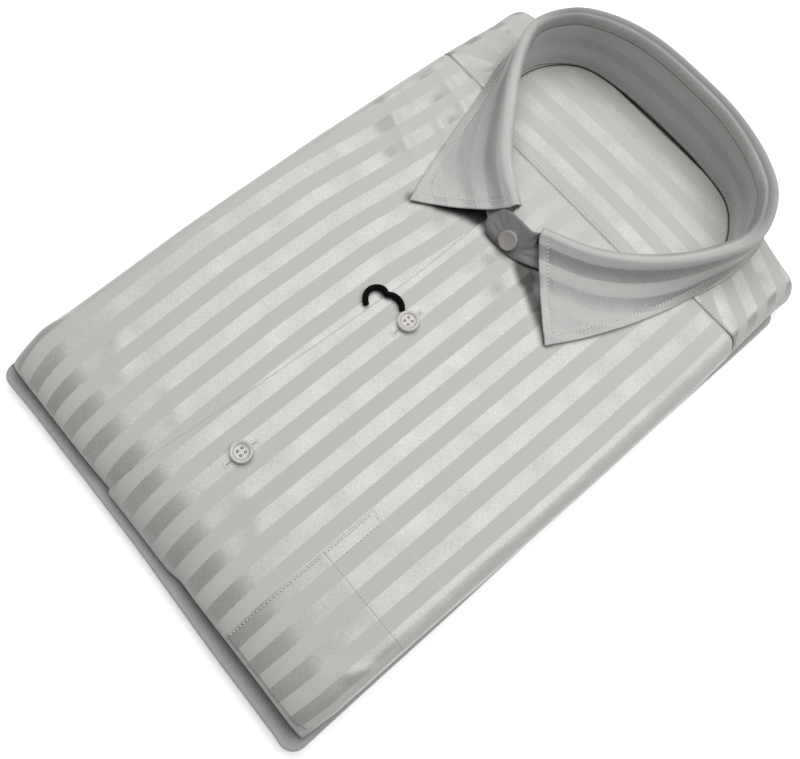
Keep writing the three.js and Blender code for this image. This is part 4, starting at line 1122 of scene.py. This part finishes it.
for number, y in enumerate(BUTTON_YS, 1):
    base = TOP + LAP_LIFT + 0.15
    dish = [(0.55, 0), (0.75, -0.1), (0.55, -0.55), (0.6, -0.12)]
    body = disc(f"pearl_button_{number}", BUTTON_RADIUS, BUTTON_DEPTH, (0, y, base + BUTTON_DEPTH / 2), dish)
    soften(body, 0.5, 3)
    spots = [(sx * HOLE_OUT, y + sy * HOLE_OUT, base) for sx in (-1, 1) for sy in (-1, 1)]
    for place in spots:
        drill = cylinder(20, DRILL_RADIUS, 12, place)
        apply_modifier(body, "BOOLEAN", object=drill, operation="DIFFERENCE", solver="EXACT")
        bpy.data.objects.remove(drill)
    finish_button(body, 40, button_pearl, "button_pearl", f"button_{number}")
    sew = np.array(spots) + (0, 0, 1.35)
    attach(capsules(f"{body.name}_thread", sew, UP, (1, 0, 0), 1.6, 0.42), "cloth_front")

# ---- Band button ----
# A plain warm-grey disc with a softly rounded edge, on the slope of the band's lap, and its dark buttonhole
# thread in three short rows towards the neck.
BAND_BUTTON_DEPTH, BAND_BUTTON_PART = 2.2, 0.36
HOLE_U, HOLE_V = 21.4, 6.4    # start and middle of the rows, along and up the band
button_grey = speckled(
    "button_grey", 320.0, 3.0, (0.33, 0.31, 0.30), (0.44, 0.42, 0.41), Roughness=0.42,
)[0]

slope_base, slope_top = (Vector(end) for end in BAND_LAP[3])
slope = math.atan2(slope_top.z - slope_base.z, slope_top.y - slope_base.y)
spot = slope_base.lerp(slope_top, BAND_BUTTON_PART)
spot.x = 0.5
spot = (spot + Vector((0, -math.sin(slope), math.cos(slope))) * 1.8) * MM
face_steps = [(1.1, 0), (0.5, -0.12), (1.6, -0.1)]
band_button = disc("band_button", 5.1, BAND_BUTTON_DEPTH, (0, 0, BAND_BUTTON_DEPTH / 2), face_steps)
soften(band_button, 0.55, 4)
band_button.data.transform(Matrix.Translation(spot) @ Matrix.Rotation(slope, 4, "X"))
finish_button(band_button, 50, button_grey, "button_grey", "button_band")

band_up = grid_normals(band)    # of the creased cloth
threads = []
column = int(np.argmin(np.abs(band_v[25] - HOLE_V)))
for offset in (-1.5, 0, 1.5):
    for step in np.arange(0, 8.5, 0.9):
        i = int(np.argmin(np.abs(band_u[:, column] - (HOLE_U + step))))
        j = int(np.argmin(np.abs(band_v[i] - (HOLE_V + offset * (1 - step / 14)))))
        ahead, up = unit(band[i + 1, j] - band[i, j]), band_up[i, j]
        threads.append((band[i, j] + up * 0.12, ahead, up))
band_hole = attach(capsules("band_buttonhole", *zip(*threads), 1.2, 0.27, dark_thread_and_hole_shade), "cloth_collar")

# The collar and the pocket are put on the shirt here, once the stitches that belong to them are made.
sheet_piece(
    collar_leaf, "collar_leaf", "cloth_collar", (0.44, 0.058),
    with_pieces=[leaf_stitches],
)
for piece, node, slot, flat, sewn in (
    (collar_band, "collar_band", "cloth_collar", (0.45, 0.03), [band_stitches, band_hole]),
    (pocket, "pocket", "cloth_front", (0.058, 0.05), [pocket_stitches]),
    (pocket_hem, "pocket_hem", "cloth_front", (0.058, 0.03), []),
):
    sheet_piece(piece, node, slot, flat, with_pieces=sewn)

# ---- Table and light ----
# A plain pale table, one large soft light above and beyond the collar, and a weak even fill from all round,
# so that the satin shines and the folds stay soft.
table_white = speckled(
    "table_white", 2.0, 1.0, (0.93, 0.93, 0.93), (0.96, 0.96, 0.96), Roughness=0.9,
    Emission_Color=(1, 1, 1, 1), Emission_Strength=0.4,
)[0]
choose()
bpy.ops.mesh.primitive_plane_add(size=6, location=(0, 0, -0.0002))
table = bpy.context.object
table.name = "table"
table.data.materials.append(table_white)
table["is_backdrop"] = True

light_data = bpy.data.lights.new("softbox", "AREA")
light_data.shape, light_data.size, light_data.size_y, light_data.energy = "RECTANGLE", 1.5, 0.75, 11.3
light = bpy.data.objects.new("softbox", light_data)
light.location = (-0.03, 0.2, 0.95)
light.rotation_euler = (Vector((0, 0, 0.02)) - light.location).to_track_quat("-Z", "Y").to_euler()
scene.collection.objects.link(light)
world = bpy.data.worlds.new("studio")
world.use_nodes = True
fill(world.node_tree, world.node_tree.nodes["Background"], {"Color": (0.97, 0.98, 1.0, 1), "Strength": 0.08})
scene.world = world
scene.view_settings.view_transform = "Standard"

new_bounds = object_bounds()
sizes = {"cad": cad_bounds, "visual": new_bounds}
